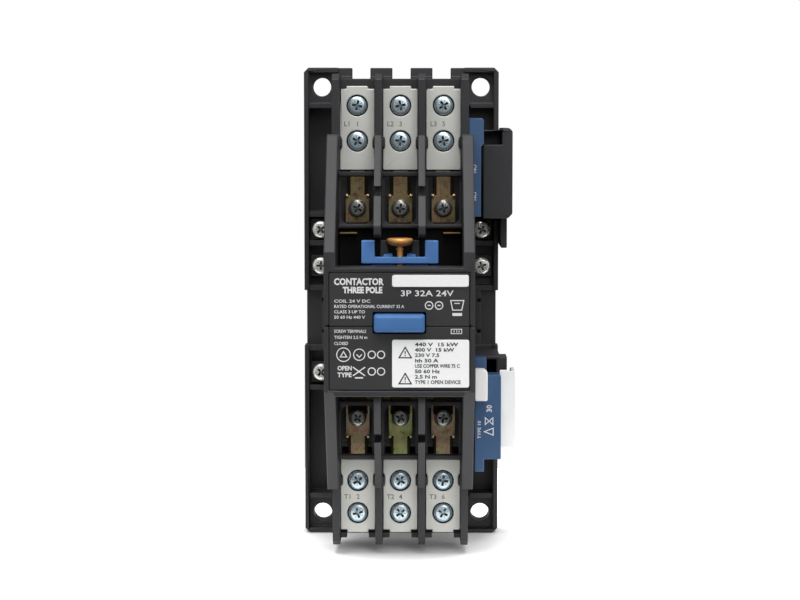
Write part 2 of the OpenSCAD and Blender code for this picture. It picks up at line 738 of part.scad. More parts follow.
aux_x = [29.9, 40.6];
aux_z = [33, 65.7];
aux_d = [13, 45];
aux_wall = 1.4;
aux_column = 36.7;

module aux_housing() color(body_black) panel() difference() {
    union() {
        translate([0, 0, aux_d[0]]) linear_extrude(aux_d[1] - aux_d[0])
            polygon([[aux_x[0], aux_z[0]], [aux_x[1] - 1.6, aux_z[0]],
                [aux_x[1], aux_z[0] + 1.6], [aux_x[1], aux_z[1] - 1.2],
                [aux_x[1] - 1.2, aux_z[1]], [aux_column, aux_z[1]],
                [aux_column, aux_z[1] - 0.8], [aux_x[0], aux_z[1] - 0.8]]);
        slab([36.9, 39.2], [21.4, 33.5], [3, 30]);
    }
    difference() {
        slab([aux_x[0] + aux_wall, aux_x[1] - aux_wall],
            [aux_z[0] + aux_wall, aux_z[1] - aux_wall], [aux_d[0] + aux_wall, aux_d[1] - aux_wall]);
        slab([aux_x[0], aux_column + aux_wall], [59.7 - aux_wall, aux_z[1]], [34, aux_d[1]]);
    }
    slab([aux_x[0] - 1, aux_column], [59.7, 64.4], [36, aux_d[1] + 1]);
}

module aux_slider() color(signal_blue) panel() difference() {
    slab([32, 35], [40, 56], [21, 41]);
    slab([31, 36], [44, 52], [27, 35]);
}

module aux_contacts() color(brass) panel() for (z = [36.2, 46.4, 52.6]) {
    slab([35.6, 39.2], [z, z + 3], [15.2, 16]);
    slab([38.4, 39.2], [z, z + 3], [15.2, 38]);
}

module side_label() color(label_blue) panel() translate([0, 0, 48]) linear_extrude(9.6)
    polygon([[24.5, 34.1], [28.8, 34.1], [28.8, 59], [29.8, 60], [29.8, 68.5],
        [29.1, 69.2], [24.5, 69.2]]);

// ---- side module on the lower right ----

module_x = [27, 36.4];
module_z = [-55, -17.6];
module_wall = 1.4;

module module_housing() color(body_black) panel() difference() {
    union() {
        slab(module_x, module_z, [13, 40.9]);
        slab([module_x[1] - 0.5, 39], [-22.9, -18.1], [28, 40]);
    }
    slab([module_x[0] + module_wall, module_x[1] - module_wall],
        [module_z[0] + module_wall, module_z[1] - module_wall], [13 + module_wall, 42]);
}

module cover_outline() polygon([[27, -17.5], [31.2, -17.5], [31.2, -23.5], [35.9, -23.5],
    [36.5, -24.1], [36.5, -54.5], [30.4, -54.5], [30.4, -59.1], [27, -59.1]]);

module module_cover() color(label_blue) panel() difference() {
    translate([0, 0, 41]) linear_extrude(9) cover_outline();
    slab([28.4, 29.8], [-57.6, -19], [40, 48.4]);
    slab([29.7, 35.1], [-53.1, -25], [40, 48.4]);
}

module module_tab() color(white_plastic) panel() translate([0, 0, 50]) linear_extrude(5)
    polygon([[27, -32.6], [31.5, -32.6], [31.5, -22.2], [30.3, -21], [27, -21]]);

module module_marker() color(white_plastic) panel() {
    slab([36.5, 41.7], [-50.5, -22.6], [44.4, 46]);
    slab([40.3, 41.7], [-50.5, -22.6], [32, 44.5]);
}

// ---- what is drawn ----

base_plate();
rail_latch();
rail_latch_spring();
magnet_housing();
core_cushion();
fixed_core();
shading_rings();
coil_bobbin();
coil_winding();
coil_terminals();
armature();
armature_pin();
contact_carrier();
carrier_yoke();
guide_pin();
position_indicator();
contact_bridge(poles[0]);  // contact_bridge_1
contact_bridge(poles[1]);  // contact_bridge_2
contact_bridge(poles[2]);  // contact_bridge_3
contact_springs();
return_springs();
line_contact(poles[0]);  // line_contact_1
line_contact(poles[1]);  // line_contact_2
line_contact(poles[2]);  // line_contact_3
load_contact(poles[0]);  // load_contact_1
load_contact(poles[1]);  // load_contact_2
load_contact(poles[2]);  // load_contact_3
line_plate(poles[0]);  // line_plate_1
line_plate(poles[1]);  // line_plate_2
line_plate(poles[2]);  // line_plate_3
load_plate(poles[0]);  // load_plate_1
load_plate(poles[1]);  // load_plate_2
load_plate(poles[2]);  // load_plate_3
line_strap(poles[0]);  // line_strap_1
line_strap(poles[1]);  // line_strap_2
line_strap(poles[2]);  // line_strap_3
load_strap(poles[0]);  // load_strap_1
load_strap(poles[1]);  // load_strap_2
load_strap(poles[2]);  // load_strap_3
contact_housing();
arc_covers();
arc_plates();
front_cover();
upper_panel();
lower_panel();
marker_strip();
rating_label();
terminal_screws();
strap_screws();
body_screws();
wire_clamps();
aux_housing();
aux_slider();
aux_contacts();
side_label();
module_housing();
module_cover();
module_tab();
module_marker();
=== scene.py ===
# %% [markdown]
# # A three-pole contactor on a mounting plate
#
# A contactor is a heavy switch that a coil closes. Its working shape is already fixed in the packed
# frame: every shell, plate and screw has its size and place there. This script only makes that frame look
# like moulded plastic, plated metal and printed labels, and adds the fine detail that a machine drawing
# leaves out.
#
# The frame is loaded first, and nothing in it is moved. Where a shape needs softer edges or more detail,
# a new piece is made beside the frame's part and stands in for it.

# %% Load the frame
import json
from math import cos, pi, radians, sin

import bmesh
import bpy
from mathutils import Matrix, Vector


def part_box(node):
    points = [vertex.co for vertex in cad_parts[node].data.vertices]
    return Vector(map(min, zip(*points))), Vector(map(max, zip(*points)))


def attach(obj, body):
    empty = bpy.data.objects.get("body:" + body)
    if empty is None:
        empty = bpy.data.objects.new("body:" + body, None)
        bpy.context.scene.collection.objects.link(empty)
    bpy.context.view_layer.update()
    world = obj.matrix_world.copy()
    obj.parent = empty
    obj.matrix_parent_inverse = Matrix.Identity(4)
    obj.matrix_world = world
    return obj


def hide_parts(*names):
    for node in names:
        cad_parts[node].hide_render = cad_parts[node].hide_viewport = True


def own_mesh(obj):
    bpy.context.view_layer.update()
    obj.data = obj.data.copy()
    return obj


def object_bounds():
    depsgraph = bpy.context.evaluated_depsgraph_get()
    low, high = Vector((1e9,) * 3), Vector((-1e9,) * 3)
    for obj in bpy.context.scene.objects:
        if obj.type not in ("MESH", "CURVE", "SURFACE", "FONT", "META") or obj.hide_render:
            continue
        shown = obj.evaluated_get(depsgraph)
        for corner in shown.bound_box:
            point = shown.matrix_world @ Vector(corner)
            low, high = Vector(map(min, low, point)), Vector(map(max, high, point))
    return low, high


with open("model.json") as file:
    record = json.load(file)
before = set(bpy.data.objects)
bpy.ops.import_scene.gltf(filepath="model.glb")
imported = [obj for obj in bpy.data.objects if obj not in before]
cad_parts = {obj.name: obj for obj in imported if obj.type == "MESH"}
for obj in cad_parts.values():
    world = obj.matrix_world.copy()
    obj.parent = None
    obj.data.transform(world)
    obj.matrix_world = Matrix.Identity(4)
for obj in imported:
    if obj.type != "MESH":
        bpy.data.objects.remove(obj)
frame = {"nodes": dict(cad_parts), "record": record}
cad_low, cad_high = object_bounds()

# %% [markdown]
# ## Directions and units
#
# On the real object a maker measures across, up and forward from the mounting face. The frame has X
# across, Z up and the front towards minus Y. One small helper turns "across, height, depth" in
# millimetres into a point of the frame, so that every size below reads like a drawing.

# %% Panel coordinates
MM = 0.001


def at(across, height, depth):
    """Point of the frame from millimetres across, up and forward of the mounting face."""
    return Vector((across * MM, -depth * MM, height * MM))


def node_top(node):
    """How far forward of the mounting face a node reaches, in millimetres."""
    low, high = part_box(node)
    return -low.y / MM


def node_span(node):
    """Left, right, bottom and top of a node in millimetres."""
    low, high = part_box(node)
    return low.x / MM, high.x / MM, low.z / MM, high.z / MM


POLES = []
for number in (1, 2, 3):
    left, right, bottom, top = node_span(f"line_plate_{number}")
    POLES.append((left + right) / 2)
PLATE_TOP = node_top("line_plate_1")
PANEL_TOP = node_top("upper_panel")
print("poles at", [round(x, 2) for x in POLES], "mm; terminal plates at depth", round(PLATE_TOP, 2))

# %% [markdown]
# ## Camera
#
# The object is seen almost straight on, from a little above and from arm's length, with a long lens that
# keeps the walls between the poles nearly parallel. The camera is placed by two angles and a distance
# from a point near the middle of the plate, and is turned to look at that point.

# %% Place the camera
VIEW_TURN = radians(0.5)
VIEW_RISE = radians(4.5)
VIEW_DISTANCE = 0.86
LENS = 102.0
FILM_WIDTH = 36.0
aim = at(-0.5, 0.5, 10)
towards_camera = Vector((sin(VIEW_TURN) * cos(VIEW_RISE), -cos(VIEW_TURN) * cos(VIEW_RISE), sin(VIEW_RISE)))
camera_data = bpy.data.cameras.new("product_camera")
camera_data.lens = LENS
camera_data.sensor_width = FILM_WIDTH
camera = bpy.data.objects.new("product_camera", camera_data)
camera.location = aim + towards_camera * VIEW_DISTANCE
camera.rotation_euler = (-towards_camera).to_track_quat("-Z", "Y").to_euler()
bpy.context.scene.collection.objects.link(camera)
bpy.context.scene.camera = camera
print("camera at", [round(v, 3) for v in camera.location])

# %% [markdown]
# ## Light and floor
#
# Small switchgear is pictured on a white sweep. A broad soft light hangs above and in front, so that the
# upper halves of the sloping arms are lighter than the lower halves. A second one stands further forward
# and lights the plates and the wells between the walls. Two weaker panels at the sides draw thin
# highlights along the plastic edges. The world is white to the camera. As a light it is dim, and dimmer
# still from below, because black plastic in an evenly white room would turn grey.

# %% Studio
def soft_panel(name, place, look_at, width, height, power):
    """Rectangular soft light that faces a point."""
    data = bpy.data.lights.new(name, "AREA")
    data.shape = "RECTANGLE"
    data.size = width
    data.size_y = height
    data.energy = power
    lamp = bpy.data.objects.new(name, data)
    lamp.location = place
    lamp.rotation_euler = (Vector(look_at) - Vector(place)).to_track_quat("-Z", "Y").to_euler()
    bpy.context.scene.collection.objects.link(lamp)


soft_panel("key_above", place=(-0.10, -0.55, 1.00), look_at=(0, 0, 0.02), width=1.0, height=0.6, power=12.0)
soft_panel("front_fill", place=(0.35, -1.6, 0.75), look_at=(0, 0, 0), width=0.8, height=0.8, power=6.5)
soft_panel("left_edge", place=(-1.0, -0.35, 0.25), look_at=(0, 0, 0), width=0.4, height=1.0, power=2.4)
soft_panel("right_edge", place=(1.0, -0.35, 0.25), look_at=(0, 0, 0), width=0.4, height=1.0, power=2.4)

world = bpy.data.worlds.new("white_room")
bpy.context.scene.world = world
world.use_nodes = True
nodes, links = world.node_tree.nodes, world.node_tree.links
nodes.clear()
ray = nodes.new("ShaderNodeLightPath")
ray.label = "What the camera sees"
heading = nodes.new("ShaderNodeTexCoord")
heading.label = "Direction of the light"
height = nodes.new("ShaderNodeSeparateXYZ")
height.label = "How steep it is"
brightness = nodes.new("ShaderNodeMapRange")
brightness.label = "Brighter from above"
brightness.inputs["From Min"].default_value = -0.5
brightness.inputs["From Max"].default_value = 0.9
brightness.inputs["To Min"].default_value = 0.05
brightness.inputs["To Max"].default_value = 0.50
room = nodes.new("ShaderNodeBackground")
room.label = "Dim room light"
room.inputs["Color"].default_value = (0.97, 0.98, 1.0, 1)
sweep = nodes.new("ShaderNodeBackground")
sweep.label = "White sweep"
sweep.inputs["Color"].default_value = (1, 1, 1, 1)
sweep.inputs["Strength"].default_value = 1.0
pick = nodes.new("ShaderNodeMixShader")
world_out = nodes.new("ShaderNodeOutputWorld")
for column, node in enumerate((heading, height, brightness, room, pick, world_out)):
    node.location = (column * 220, 0)
ray.location = (660, 240)
sweep.location = (660, -200)
links.new(heading.outputs["Generated"], height.inputs["Vector"])
links.new(height.outputs["Z"], brightness.inputs["Value"])
links.new(brightness.outputs["Result"], room.inputs["Strength"])
links.new(ray.outputs["Is Camera Ray"], pick.inputs["Fac"])
links.new(room.outputs["Background"], pick.inputs[1])
links.new(sweep.outputs["Background"], pick.inputs[2])
links.new(pick.outputs["Shader"], world_out.inputs["Surface"])
bpy.context.scene.view_settings.view_transform = "Standard"
bpy.context.scene.view_settings.look = "None"

# %% [markdown]
# The floor is a small sheet of matt white paper that glows like a light table. The glow fades where the
# sheet is covered, so only a soft grey shadow stays close under the object. How much of the sky a spot
# sees is what the occlusion node measures. A large soft noise moves the white of the paper by up to three
# hundredths.

# %% Floor
paper = bpy.data.materials.new("sweep_paper")
paper.use_nodes = True
nodes, links = paper.node_tree.nodes, paper.node_tree.links
nodes.clear()
place = nodes.new("ShaderNodeTexCoord")
place.label = "Place on the floor"
cloud = nodes.new("ShaderNodeTexNoise")
cloud.label = "Uneven white"
cloud.inputs["Scale"].default_value = 3.0
tone = nodes.new("ShaderNodeMapRange")
tone.label = "Nearly white"
tone.inputs["To Min"].default_value = 0.90
tone.inputs["To Max"].default_value = 0.93
skin = nodes.new("ShaderNodeBsdfDiffuse")
skin.label = "Matt paper"
covered = nodes.new("ShaderNodeAmbientOcclusion")
covered.label = "How open the spot is"
covered.samples = 8
covered.inputs["Distance"].default_value = 0.05
fade = nodes.new("ShaderNodeMapRange")
fade.label = "No glow under the object"
fade.inputs["From Min"].default_value = 0.45
fade.inputs["From Max"].default_value = 0.90
fade.inputs["To Min"].default_value = 0.05
fade.inputs["To Max"].default_value = 0.85
glow = nodes.new("ShaderNodeEmission")
glow.label = "Light from behind"
both = nodes.new("ShaderNodeAddShader")
paper_out = nodes.new("ShaderNodeOutputMaterial")
for column, node in enumerate((place, cloud, tone, skin, both, paper_out)):
    node.location = (column * 220, 0)
for column, node in enumerate((covered, fade, glow)):
    node.location = (column * 220, -240)
links.new(covered.outputs["AO"], fade.inputs["Value"])
links.new(fade.outputs["Result"], glow.inputs["Strength"])
links.new(place.outputs["Object"], cloud.inputs["Vector"])
links.new(cloud.outputs["Fac"], tone.inputs["Value"])
links.new(tone.outputs["Result"], skin.inputs["Color"])
links.new(skin.outputs["BSDF"], both.inputs[0])
links.new(glow.outputs["Emission"], both.inputs[1])
links.new(both.outputs["Shader"], paper_out.inputs["Surface"])

FLOOR_HALF = 0.15
FLOOR_DROP = 0.0002
floor_z = cad_low.z - FLOOR_DROP
floor_corners = [(-FLOOR_HALF, -FLOOR_HALF, floor_z), (FLOOR_HALF, -FLOOR_HALF, floor_z),
                 (FLOOR_HALF, FLOOR_HALF, floor_z), (-FLOOR_HALF, FLOOR_HALF, floor_z)]
floor_mesh = bpy.data.meshes.new("floor")
floor_mesh.from_pydata(floor_corners, [], [(0, 1, 2, 3)])
floor = bpy.data.objects.new("floor", floor_mesh)
floor_mesh.materials.append(paper)
bpy.context.scene.collection.objects.link(floor)
print("floor at", round(floor_z / MM, 2), "mm")

# %% [markdown]
# ## Moulded plastic
#
# Most of the object is glass-filled plastic. The mould was lightly eroded, so the skin has a very fine
# grain that breaks up highlights. Edges are paler: partly wear that leaves them smoother where hands and
# tools touch, and partly a painted highlight where an edge would catch the light. The tone drifts a little
# over a large part. The grain is a noise of half a millimetre fed to a bump. The pale edge comes from
# comparing the true normal with one rounded over a few tenths of a millimetre: they differ only along
# edges. One function makes every plastic here, because they differ only in colour, gloss and grain.

# %% Plastic finish
def moulded_plastic(name, colour, edge_colour, roughness, grain=0.25, specular=0.35):
    mat = bpy.data.materials.new(name)
    mat.use_nodes = True
    nodes, links = mat.node_tree.nodes, mat.node_tree.links
    nodes.clear()

    grain_frame = nodes.new("NodeFrame")
    grain_frame.label = "Eroded mould grain"
    tone_frame = nodes.new("NodeFrame")
    tone_frame.label = "Tone and rubbed edges"
    gloss_frame = nodes.new("NodeFrame")
    gloss_frame.label = "Uneven gloss"

    place = nodes.new("ShaderNodeTexCoord")
    place.label = "Place on the part"
    fine = nodes.new("ShaderNodeTexNoise")
    fine.label = "Half-millimetre grain"
    relief = nodes.new("ShaderNodeBump")
    relief.label = "Grain height"
    cloud = nodes.new("ShaderNodeTexNoise")
    cloud.label = "Slow drift of tone"
    drift = nodes.new("ShaderNodeMix")
    drift.label = "Darker and lighter skin"
    # Paler edges: a painted highlight along the edges, together with wear from hands and tools.
    rounded = nodes.new("ShaderNodeBevel")
    rounded.label = "Normal of a worn edge"
    surface = nodes.new("ShaderNodeNewGeometry")
    surface.label = "True normal"
    agree = nodes.new("ShaderNodeVectorMath")
    agree.label = "How well they agree"
    rubbed_and_highlit = nodes.new("ShaderNodeMapRange")
    rubbed_and_highlit.label = "Only the edges"
    worn_and_highlit = nodes.new("ShaderNodeMix")
    worn_and_highlit.label = "Paler where rubbed"
    gloss = nodes.new("ShaderNodeMapRange")
    gloss.label = "Roughness range"
    skin = nodes.new("ShaderNodeBsdfPrincipled")
    skin.label = "Plastic skin"
    out = nodes.new("ShaderNodeOutputMaterial")

    for node in (fine, relief):
        node.parent = grain_frame
    for node in (cloud, drift, rounded, surface, agree, rubbed_and_highlit, worn_and_highlit):
        node.parent = tone_frame
    gloss.parent = gloss_frame
    for column, stack in enumerate(((place,), (fine, cloud, rounded, surface), (agree, drift, gloss),
                                    (rubbed_and_highlit, relief), (worn_and_highlit,), (skin,), (out,))):
        for row, node in enumerate(stack):
            node.location = (column * 230, -row * 260)

    fine.inputs["Scale"].default_value = 2200.0
    fine.inputs["Detail"].default_value = 3.0
    fine.inputs["Roughness"].default_value = 0.6
    relief.inputs["Strength"].default_value = grain
    relief.inputs["Distance"].default_value = 0.0001
    cloud.inputs["Scale"].default_value = 60.0
    cloud.inputs["Detail"].default_value = 4.0
    drift.data_type = "RGBA"
    drift.inputs["A"].default_value = [c * 0.86 for c in colour] + [1]
    drift.inputs["B"].default_value = [min(1.0, c * 1.14) for c in colour] + [1]
    rounded.samples = 4
    rounded.inputs["Radius"].default_value = 0.00035
    agree.operation = "DOT_PRODUCT"
    rubbed_and_highlit.inputs["From Min"].default_value = 0.995
    rubbed_and_highlit.inputs["From Max"].default_value = 0.80
    rubbed_and_highlit.inputs["To Max"].default_value = 0.75
    worn_and_highlit.data_type = "RGBA"
    worn_and_highlit.inputs["B"].default_value = list(edge_colour) + [1]
    gloss.inputs["To Min"].default_value = roughness - 0.05
    gloss.inputs["To Max"].default_value = roughness + 0.08
    skin.inputs["Specular IOR Level"].default_value = specular
    skin.inputs["IOR"].default_value = 1.5

    links.new(place.outputs["Object"], fine.inputs["Vector"])
    links.new(place.outputs["Object"], cloud.inputs["Vector"])
    links.new(fine.outputs["Fac"], relief.inputs["Height"])
    links.new(cloud.outputs["Fac"], drift.inputs["Factor"])
    links.new(cloud.outputs["Fac"], gloss.inputs["Value"])
    links.new(rounded.outputs["Normal"], agree.inputs[0])
    links.new(surface.outputs["Normal"], agree.inputs[1])
    links.new(agree.outputs["Value"], rubbed_and_highlit.inputs["Value"])
    links.new(rubbed_and_highlit.outputs["Result"], worn_and_highlit.inputs["Factor"])
    links.new(drift.outputs["Result"], worn_and_highlit.inputs["A"])
    links.new(worn_and_highlit.outputs["Result"], skin.inputs["Base Color"])
    links.new(gloss.outputs["Result"], skin.inputs["Roughness"])
    links.new(relief.outputs["Normal"], skin.inputs["Normal"])
    links.new(skin.outputs["BSDF"], out.inputs["Surface"])
    return mat


# The second colour of each plastic is its paler edge, a painted highlight together with wear.
FINISH = {
    "black_plastic": moulded_plastic("black_plastic", (0.026, 0.026, 0.028), (0.075, 0.075, 0.080), 0.50),
    "cover_plastic": moulded_plastic("cover_plastic", (0.028, 0.028, 0.030), (0.085, 0.085, 0.090), 0.50),
    "panel_plastic": moulded_plastic("panel_plastic", (0.029, 0.029, 0.030), (0.080, 0.080, 0.085),
                                     0.58, 0.4),
    "deep_black_plastic": moulded_plastic("deep_black_plastic", (0.004, 0.004, 0.0045), (0.012, 0.012, 0.012),
                                          0.70, 0.3, 0.12),
    # The yoke is the indicator's blue painted nearly twice as light: painted light on a part that sits in
    # shade.
    "yoke_plastic": moulded_plastic("yoke_plastic", (0.105, 0.265, 0.64), (0.20, 0.38, 0.72), 0.42, 0.12),
    "blue_plastic": moulded_plastic("blue_plastic", (0.052, 0.150, 0.36), (0.13, 0.25, 0.48), 0.42, 0.12),
    "label_blue_plastic": moulded_plastic("label_blue_plastic", (0.040, 0.088, 0.185), (0.09, 0.16, 0.28),
                                          0.46, 0.12),
    "white_plastic": moulded_plastic("white_plastic", (0.88, 0.88, 0.86), (0.94, 0.94, 0.92), 0.42, 0.10),
    "coil_plastic": moulded_plastic("coil_plastic", (0.70, 0.67, 0.58), (0.80, 0.78, 0.70), 0.50, 0.15),
    "rubber": moulded_plastic("rubber", (0.018, 0.018, 0.018), (0.05, 0.05, 0.05), 0.80, 0.5, 0.2),
}
print("plastics:", len(FINISH))

# %% [markdown]
# ## Plated and rolled metal
#
# The terminal plates are stamped from strip and tin plated: the rolling left faint lines along the strip,
# and the plating is a soft warm silver. Screws are zinc plated with a cold blue cast, the plate screws
# are bright nickel, and springs and core laminations are bare steel. All of them are a metal whose
# roughness follows long thin scratches, with a second tint that comes and goes. On strip the scratches
# are a noise squeezed along one axis, and on screws they run every way. Narrow gaps and screw recesses
# are painted nearly black as shade. An occlusion node with a reach of about a millimetre finds those
# places.

# %% Metal finish
def plated_metal(name, colour, tint, roughness, lines=(900.0, 900.0, 60.0), scratch=0.12, reach=1.0,
                 metallic=1.0):
    mat = bpy.data.materials.new(name)
    mat.use_nodes = True
    nodes, links = mat.node_tree.nodes, mat.node_tree.links
    nodes.clear()

    line_frame = nodes.new("NodeFrame")
    line_frame.label = "Rolling lines"
    bloom_frame = nodes.new("NodeFrame")
    bloom_frame.label = "Tint of the plating"
    painted_shade_frame = nodes.new("NodeFrame")
    painted_shade_frame.label = "Painted shade in the gaps"

    place = nodes.new("ShaderNodeTexCoord")
    place.label = "Place on the part"
    squeeze = nodes.new("ShaderNodeMapping")
    squeeze.label = "Long thin lines"
    rolled = nodes.new("ShaderNodeTexNoise")
    rolled.label = "Scratches"
    relief = nodes.new("ShaderNodeBump")
    relief.label = "Scratch depth"
    gloss = nodes.new("ShaderNodeMapRange")
    gloss.label = "Rougher in the lines"
    cloud = nodes.new("ShaderNodeTexNoise")
    cloud.label = "Patches of plating"
    tinted = nodes.new("ShaderNodeMix")
    tinted.label = "Two tints"
    # Painted shade: where the occlusion node finds little open space, the colour turns nearly black.
    gap = nodes.new("ShaderNodeAmbientOcclusion")
    gap.label = "How open the spot is"
    unshaded = nodes.new("ShaderNodeMapRange")
    unshaded.label = "Unshaded where open"
    gap_shade = nodes.new("ShaderNodeMix")
    gap_shade.label = "Painted shade in the gaps"
    skin = nodes.new("ShaderNodeBsdfPrincipled")
    skin.label = "Plated skin"
    out = nodes.new("ShaderNodeOutputMaterial")

    for node in (squeeze, rolled, relief, gloss):
        node.parent = line_frame
    for node in (cloud, tinted):
        node.parent = bloom_frame
    for node in (gap, unshaded, gap_shade):
        node.parent = painted_shade_frame
    for column, stack in enumerate(((place,), (squeeze, cloud, gap), (rolled, tinted, unshaded),
                                    (relief, gloss, gap_shade), (skin,), (out,))):
        for row, node in enumerate(stack):
            node.location = (column * 230, -row * 260)

    squeeze.inputs["Scale"].default_value = lines
    rolled.inputs["Scale"].default_value = 1.0
    rolled.inputs["Detail"].default_value = 4.0
    relief.inputs["Strength"].default_value = scratch
    relief.inputs["Distance"].default_value = 0.00005
    gloss.inputs["To Min"].default_value = roughness - 0.07
    gloss.inputs["To Max"].default_value = roughness + 0.12
    cloud.inputs["Scale"].default_value = 170.0
    cloud.inputs["Detail"].default_value = 5.0
    tinted.data_type = "RGBA"
    tinted.inputs["A"].default_value = list(colour) + [1]
    tinted.inputs["B"].default_value = list(tint) + [1]
    gap.samples = 8
    gap.inputs["Distance"].default_value = reach * MM
    unshaded.inputs["From Min"].default_value = 0.30
    unshaded.inputs["From Max"].default_value = 0.80
    # Nearly black: the painted shade of narrow gaps and screw recesses.
    gap_shade.data_type = "RGBA"
    gap_shade.inputs["A"].default_value = (0.015, 0.015, 0.016, 1)
    skin.inputs["Metallic"].default_value = metallic

    links.new(place.outputs["Object"], squeeze.inputs["Vector"])
    links.new(place.outputs["Object"], cloud.inputs["Vector"])
    links.new(squeeze.outputs["Vector"], rolled.inputs["Vector"])
    links.new(rolled.outputs["Fac"], relief.inputs["Height"])
    links.new(rolled.outputs["Fac"], gloss.inputs["Value"])
    links.new(cloud.outputs["Fac"], tinted.inputs["Factor"])
    links.new(gloss.outputs["Result"], skin.inputs["Roughness"])
    links.new(relief.outputs["Normal"], skin.inputs["Normal"])
    links.new(skin.outputs["BSDF"], out.inputs["Surface"])
    links.new(gap.outputs["AO"], unshaded.inputs["Value"])
    links.new(unshaded.outputs["Result"], gap_shade.inputs["Factor"])
    links.new(tinted.outputs["Result"], gap_shade.inputs["B"])
    links.new(gap_shade.outputs["Result"], skin.inputs["Base Color"])
    return mat


FINISH["plate_tin"] = plated_metal("plate_tin", (0.72, 0.72, 0.675), (0.65, 0.65, 0.605), 0.50,
                                   (1200.0, 300.0, 45.0), 0.06, 0.7, 0.5)
FINISH["zinc_screw"] = plated_metal("zinc_screw", (0.70, 0.82, 0.87), (0.48, 0.61, 0.69), 0.26,
                                    (500.0, 500.0, 500.0), 0.30, 1.4, 0.75)
FINISH["nickel_screw"] = plated_metal("nickel_screw", (0.95, 0.94, 0.88), (0.72, 0.72, 0.65), 0.24,
                                      (500.0, 500.0, 500.0), 0.30, 1.4, 0.6)
FINISH["well_screw"] = plated_metal("well_screw", (0.52, 0.54, 0.52), (0.30, 0.31, 0.28), 0.26,
                                    (500.0, 500.0, 500.0), 0.30, 1.4, 0.8)
FINISH["copper"] = plated_metal("copper", (0.86, 0.42, 0.17), (0.66, 0.27, 0.10), 0.30,
                                (400.0, 400.0, 90.0), 0.08)
FINISH["pin_copper"] = plated_metal("pin_copper", (1.0, 0.50, 0.15), (0.92, 0.42, 0.12), 0.38,
                                    (300.0, 300.0, 300.0), 0.06, 0.4, 0.30)
FINISH["strip_bronze"] = plated_metal("strip_bronze", (0.05, 0.036, 0.022), (0.03, 0.02, 0.013), 0.50)
FINISH["dull_brass"] = plated_metal("dull_brass", (0.36, 0.22, 0.10), (0.22, 0.13, 0.06), 0.42)
FINISH["brass"] = plated_metal("brass", (0.50, 0.36, 0.16), (0.36, 0.24, 0.10), 0.38)
FINISH["core_steel"] = plated_metal("core_steel", (0.40, 0.41, 0.42), (0.30, 0.30, 0.31), 0.38,
                                    (1600.0, 60.0, 60.0), 0.25)
FINISH["spring_steel"] = plated_metal("spring_steel", (0.60, 0.60, 0.58), (0.46, 0.46, 0.45), 0.28,
                                      (300.0, 300.0, 300.0), 0.08)
print("finishes so far:", len(FINISH))

# %% [markdown]
# ## Yellow passivated steel
#
# The straps in the wells are zinc plated and then dipped in a yellow chromate. The film is so thin that
# its colour changes with its thickness: bronze, rose and green lie side by side. A noise with several
# colour stops makes that bloom, and a second noise, squeezed along the height, draws the lines that
# bending left in the neck. The middle strap of the lower row is greener, so each batch has its own colour
# stops.

# %% Passivated finish
def passivated_steel(name, stops):
    mat = bpy.data.materials.new(name)
    mat.use_nodes = True
    nodes, links = mat.node_tree.nodes, mat.node_tree.links
    nodes.clear()

    bloom_frame = nodes.new("NodeFrame")
    bloom_frame.label = "Colour of the film"
    line_frame = nodes.new("NodeFrame")
    line_frame.label = "Drawn lines"

    place = nodes.new("ShaderNodeTexCoord")
    place.label = "Place on the strap"
    film = nodes.new("ShaderNodeTexNoise")
    film.label = "Thickness of the film"
    bloom = nodes.new("ShaderNodeValToRGB")
    bloom.label = "Interference colours"
    squeeze = nodes.new("ShaderNodeMapping")
    squeeze.label = "Lines along the height"
    drawn = nodes.new("ShaderNodeTexNoise")
    drawn.label = "Drawn lines"
    relief = nodes.new("ShaderNodeBump")
    relief.label = "Line depth"
    shade = nodes.new("ShaderNodeMix")
    shade.label = "Darker in the lines"
    skin = nodes.new("ShaderNodeBsdfPrincipled")
    skin.label = "Passivated skin"
    out = nodes.new("ShaderNodeOutputMaterial")

    for node in (film, bloom, shade):
        node.parent = bloom_frame
    for node in (squeeze, drawn, relief):
        node.parent = line_frame
    for column, stack in enumerate(((place,), (film, squeeze), (bloom, drawn), (shade, relief),
                                    (skin,), (out,))):
        for row, node in enumerate(stack):
            node.location = (column * 230, -row * 260)

    film.inputs["Scale"].default_value = 420.0
    film.inputs["Detail"].default_value = 6.0
    film.inputs["Roughness"].default_value = 0.65
    ramp = bloom.color_ramp
    ramp.elements[0].position = 0.28
    ramp.elements[1].position = 0.74
    ramp.elements[0].color = list(stops[0]) + [1]
    ramp.elements[1].color = list(stops[-1]) + [1]
    for share, colour in zip((0.40, 0.52, 0.62), stops[1:-1]):
        middle = ramp.elements.new(share)
        middle.color = list(colour) + [1]
    squeeze.inputs["Scale"].default_value = (2600.0, 600.0, 110.0)
    drawn.inputs["Scale"].default_value = 1.0
    drawn.inputs["Detail"].default_value = 3.0
    relief.inputs["Strength"].default_value = 0.45
    relief.inputs["Distance"].default_value = 0.0001
    shade.data_type = "RGBA"
    shade.blend_type = "MULTIPLY"
    shade.inputs["Factor"].default_value = 0.55
    skin.inputs["Metallic"].default_value = 0.9
    skin.inputs["Roughness"].default_value = 0.33

    links.new(place.outputs["Object"], film.inputs["Vector"])
    links.new(place.outputs["Object"], squeeze.inputs["Vector"])
    links.new(film.outputs["Fac"], bloom.inputs["Fac"])
    links.new(squeeze.outputs["Vector"], drawn.inputs["Vector"])
    links.new(drawn.outputs["Fac"], relief.inputs["Height"])
    links.new(bloom.outputs["Color"], shade.inputs["A"])
    links.new(drawn.outputs["Color"], shade.inputs["B"])
    links.new(shade.outputs["Result"], skin.inputs["Base Color"])
    links.new(relief.outputs["Normal"], skin.inputs["Normal"])
    links.new(skin.outputs["BSDF"], out.inputs["Surface"])
    return mat


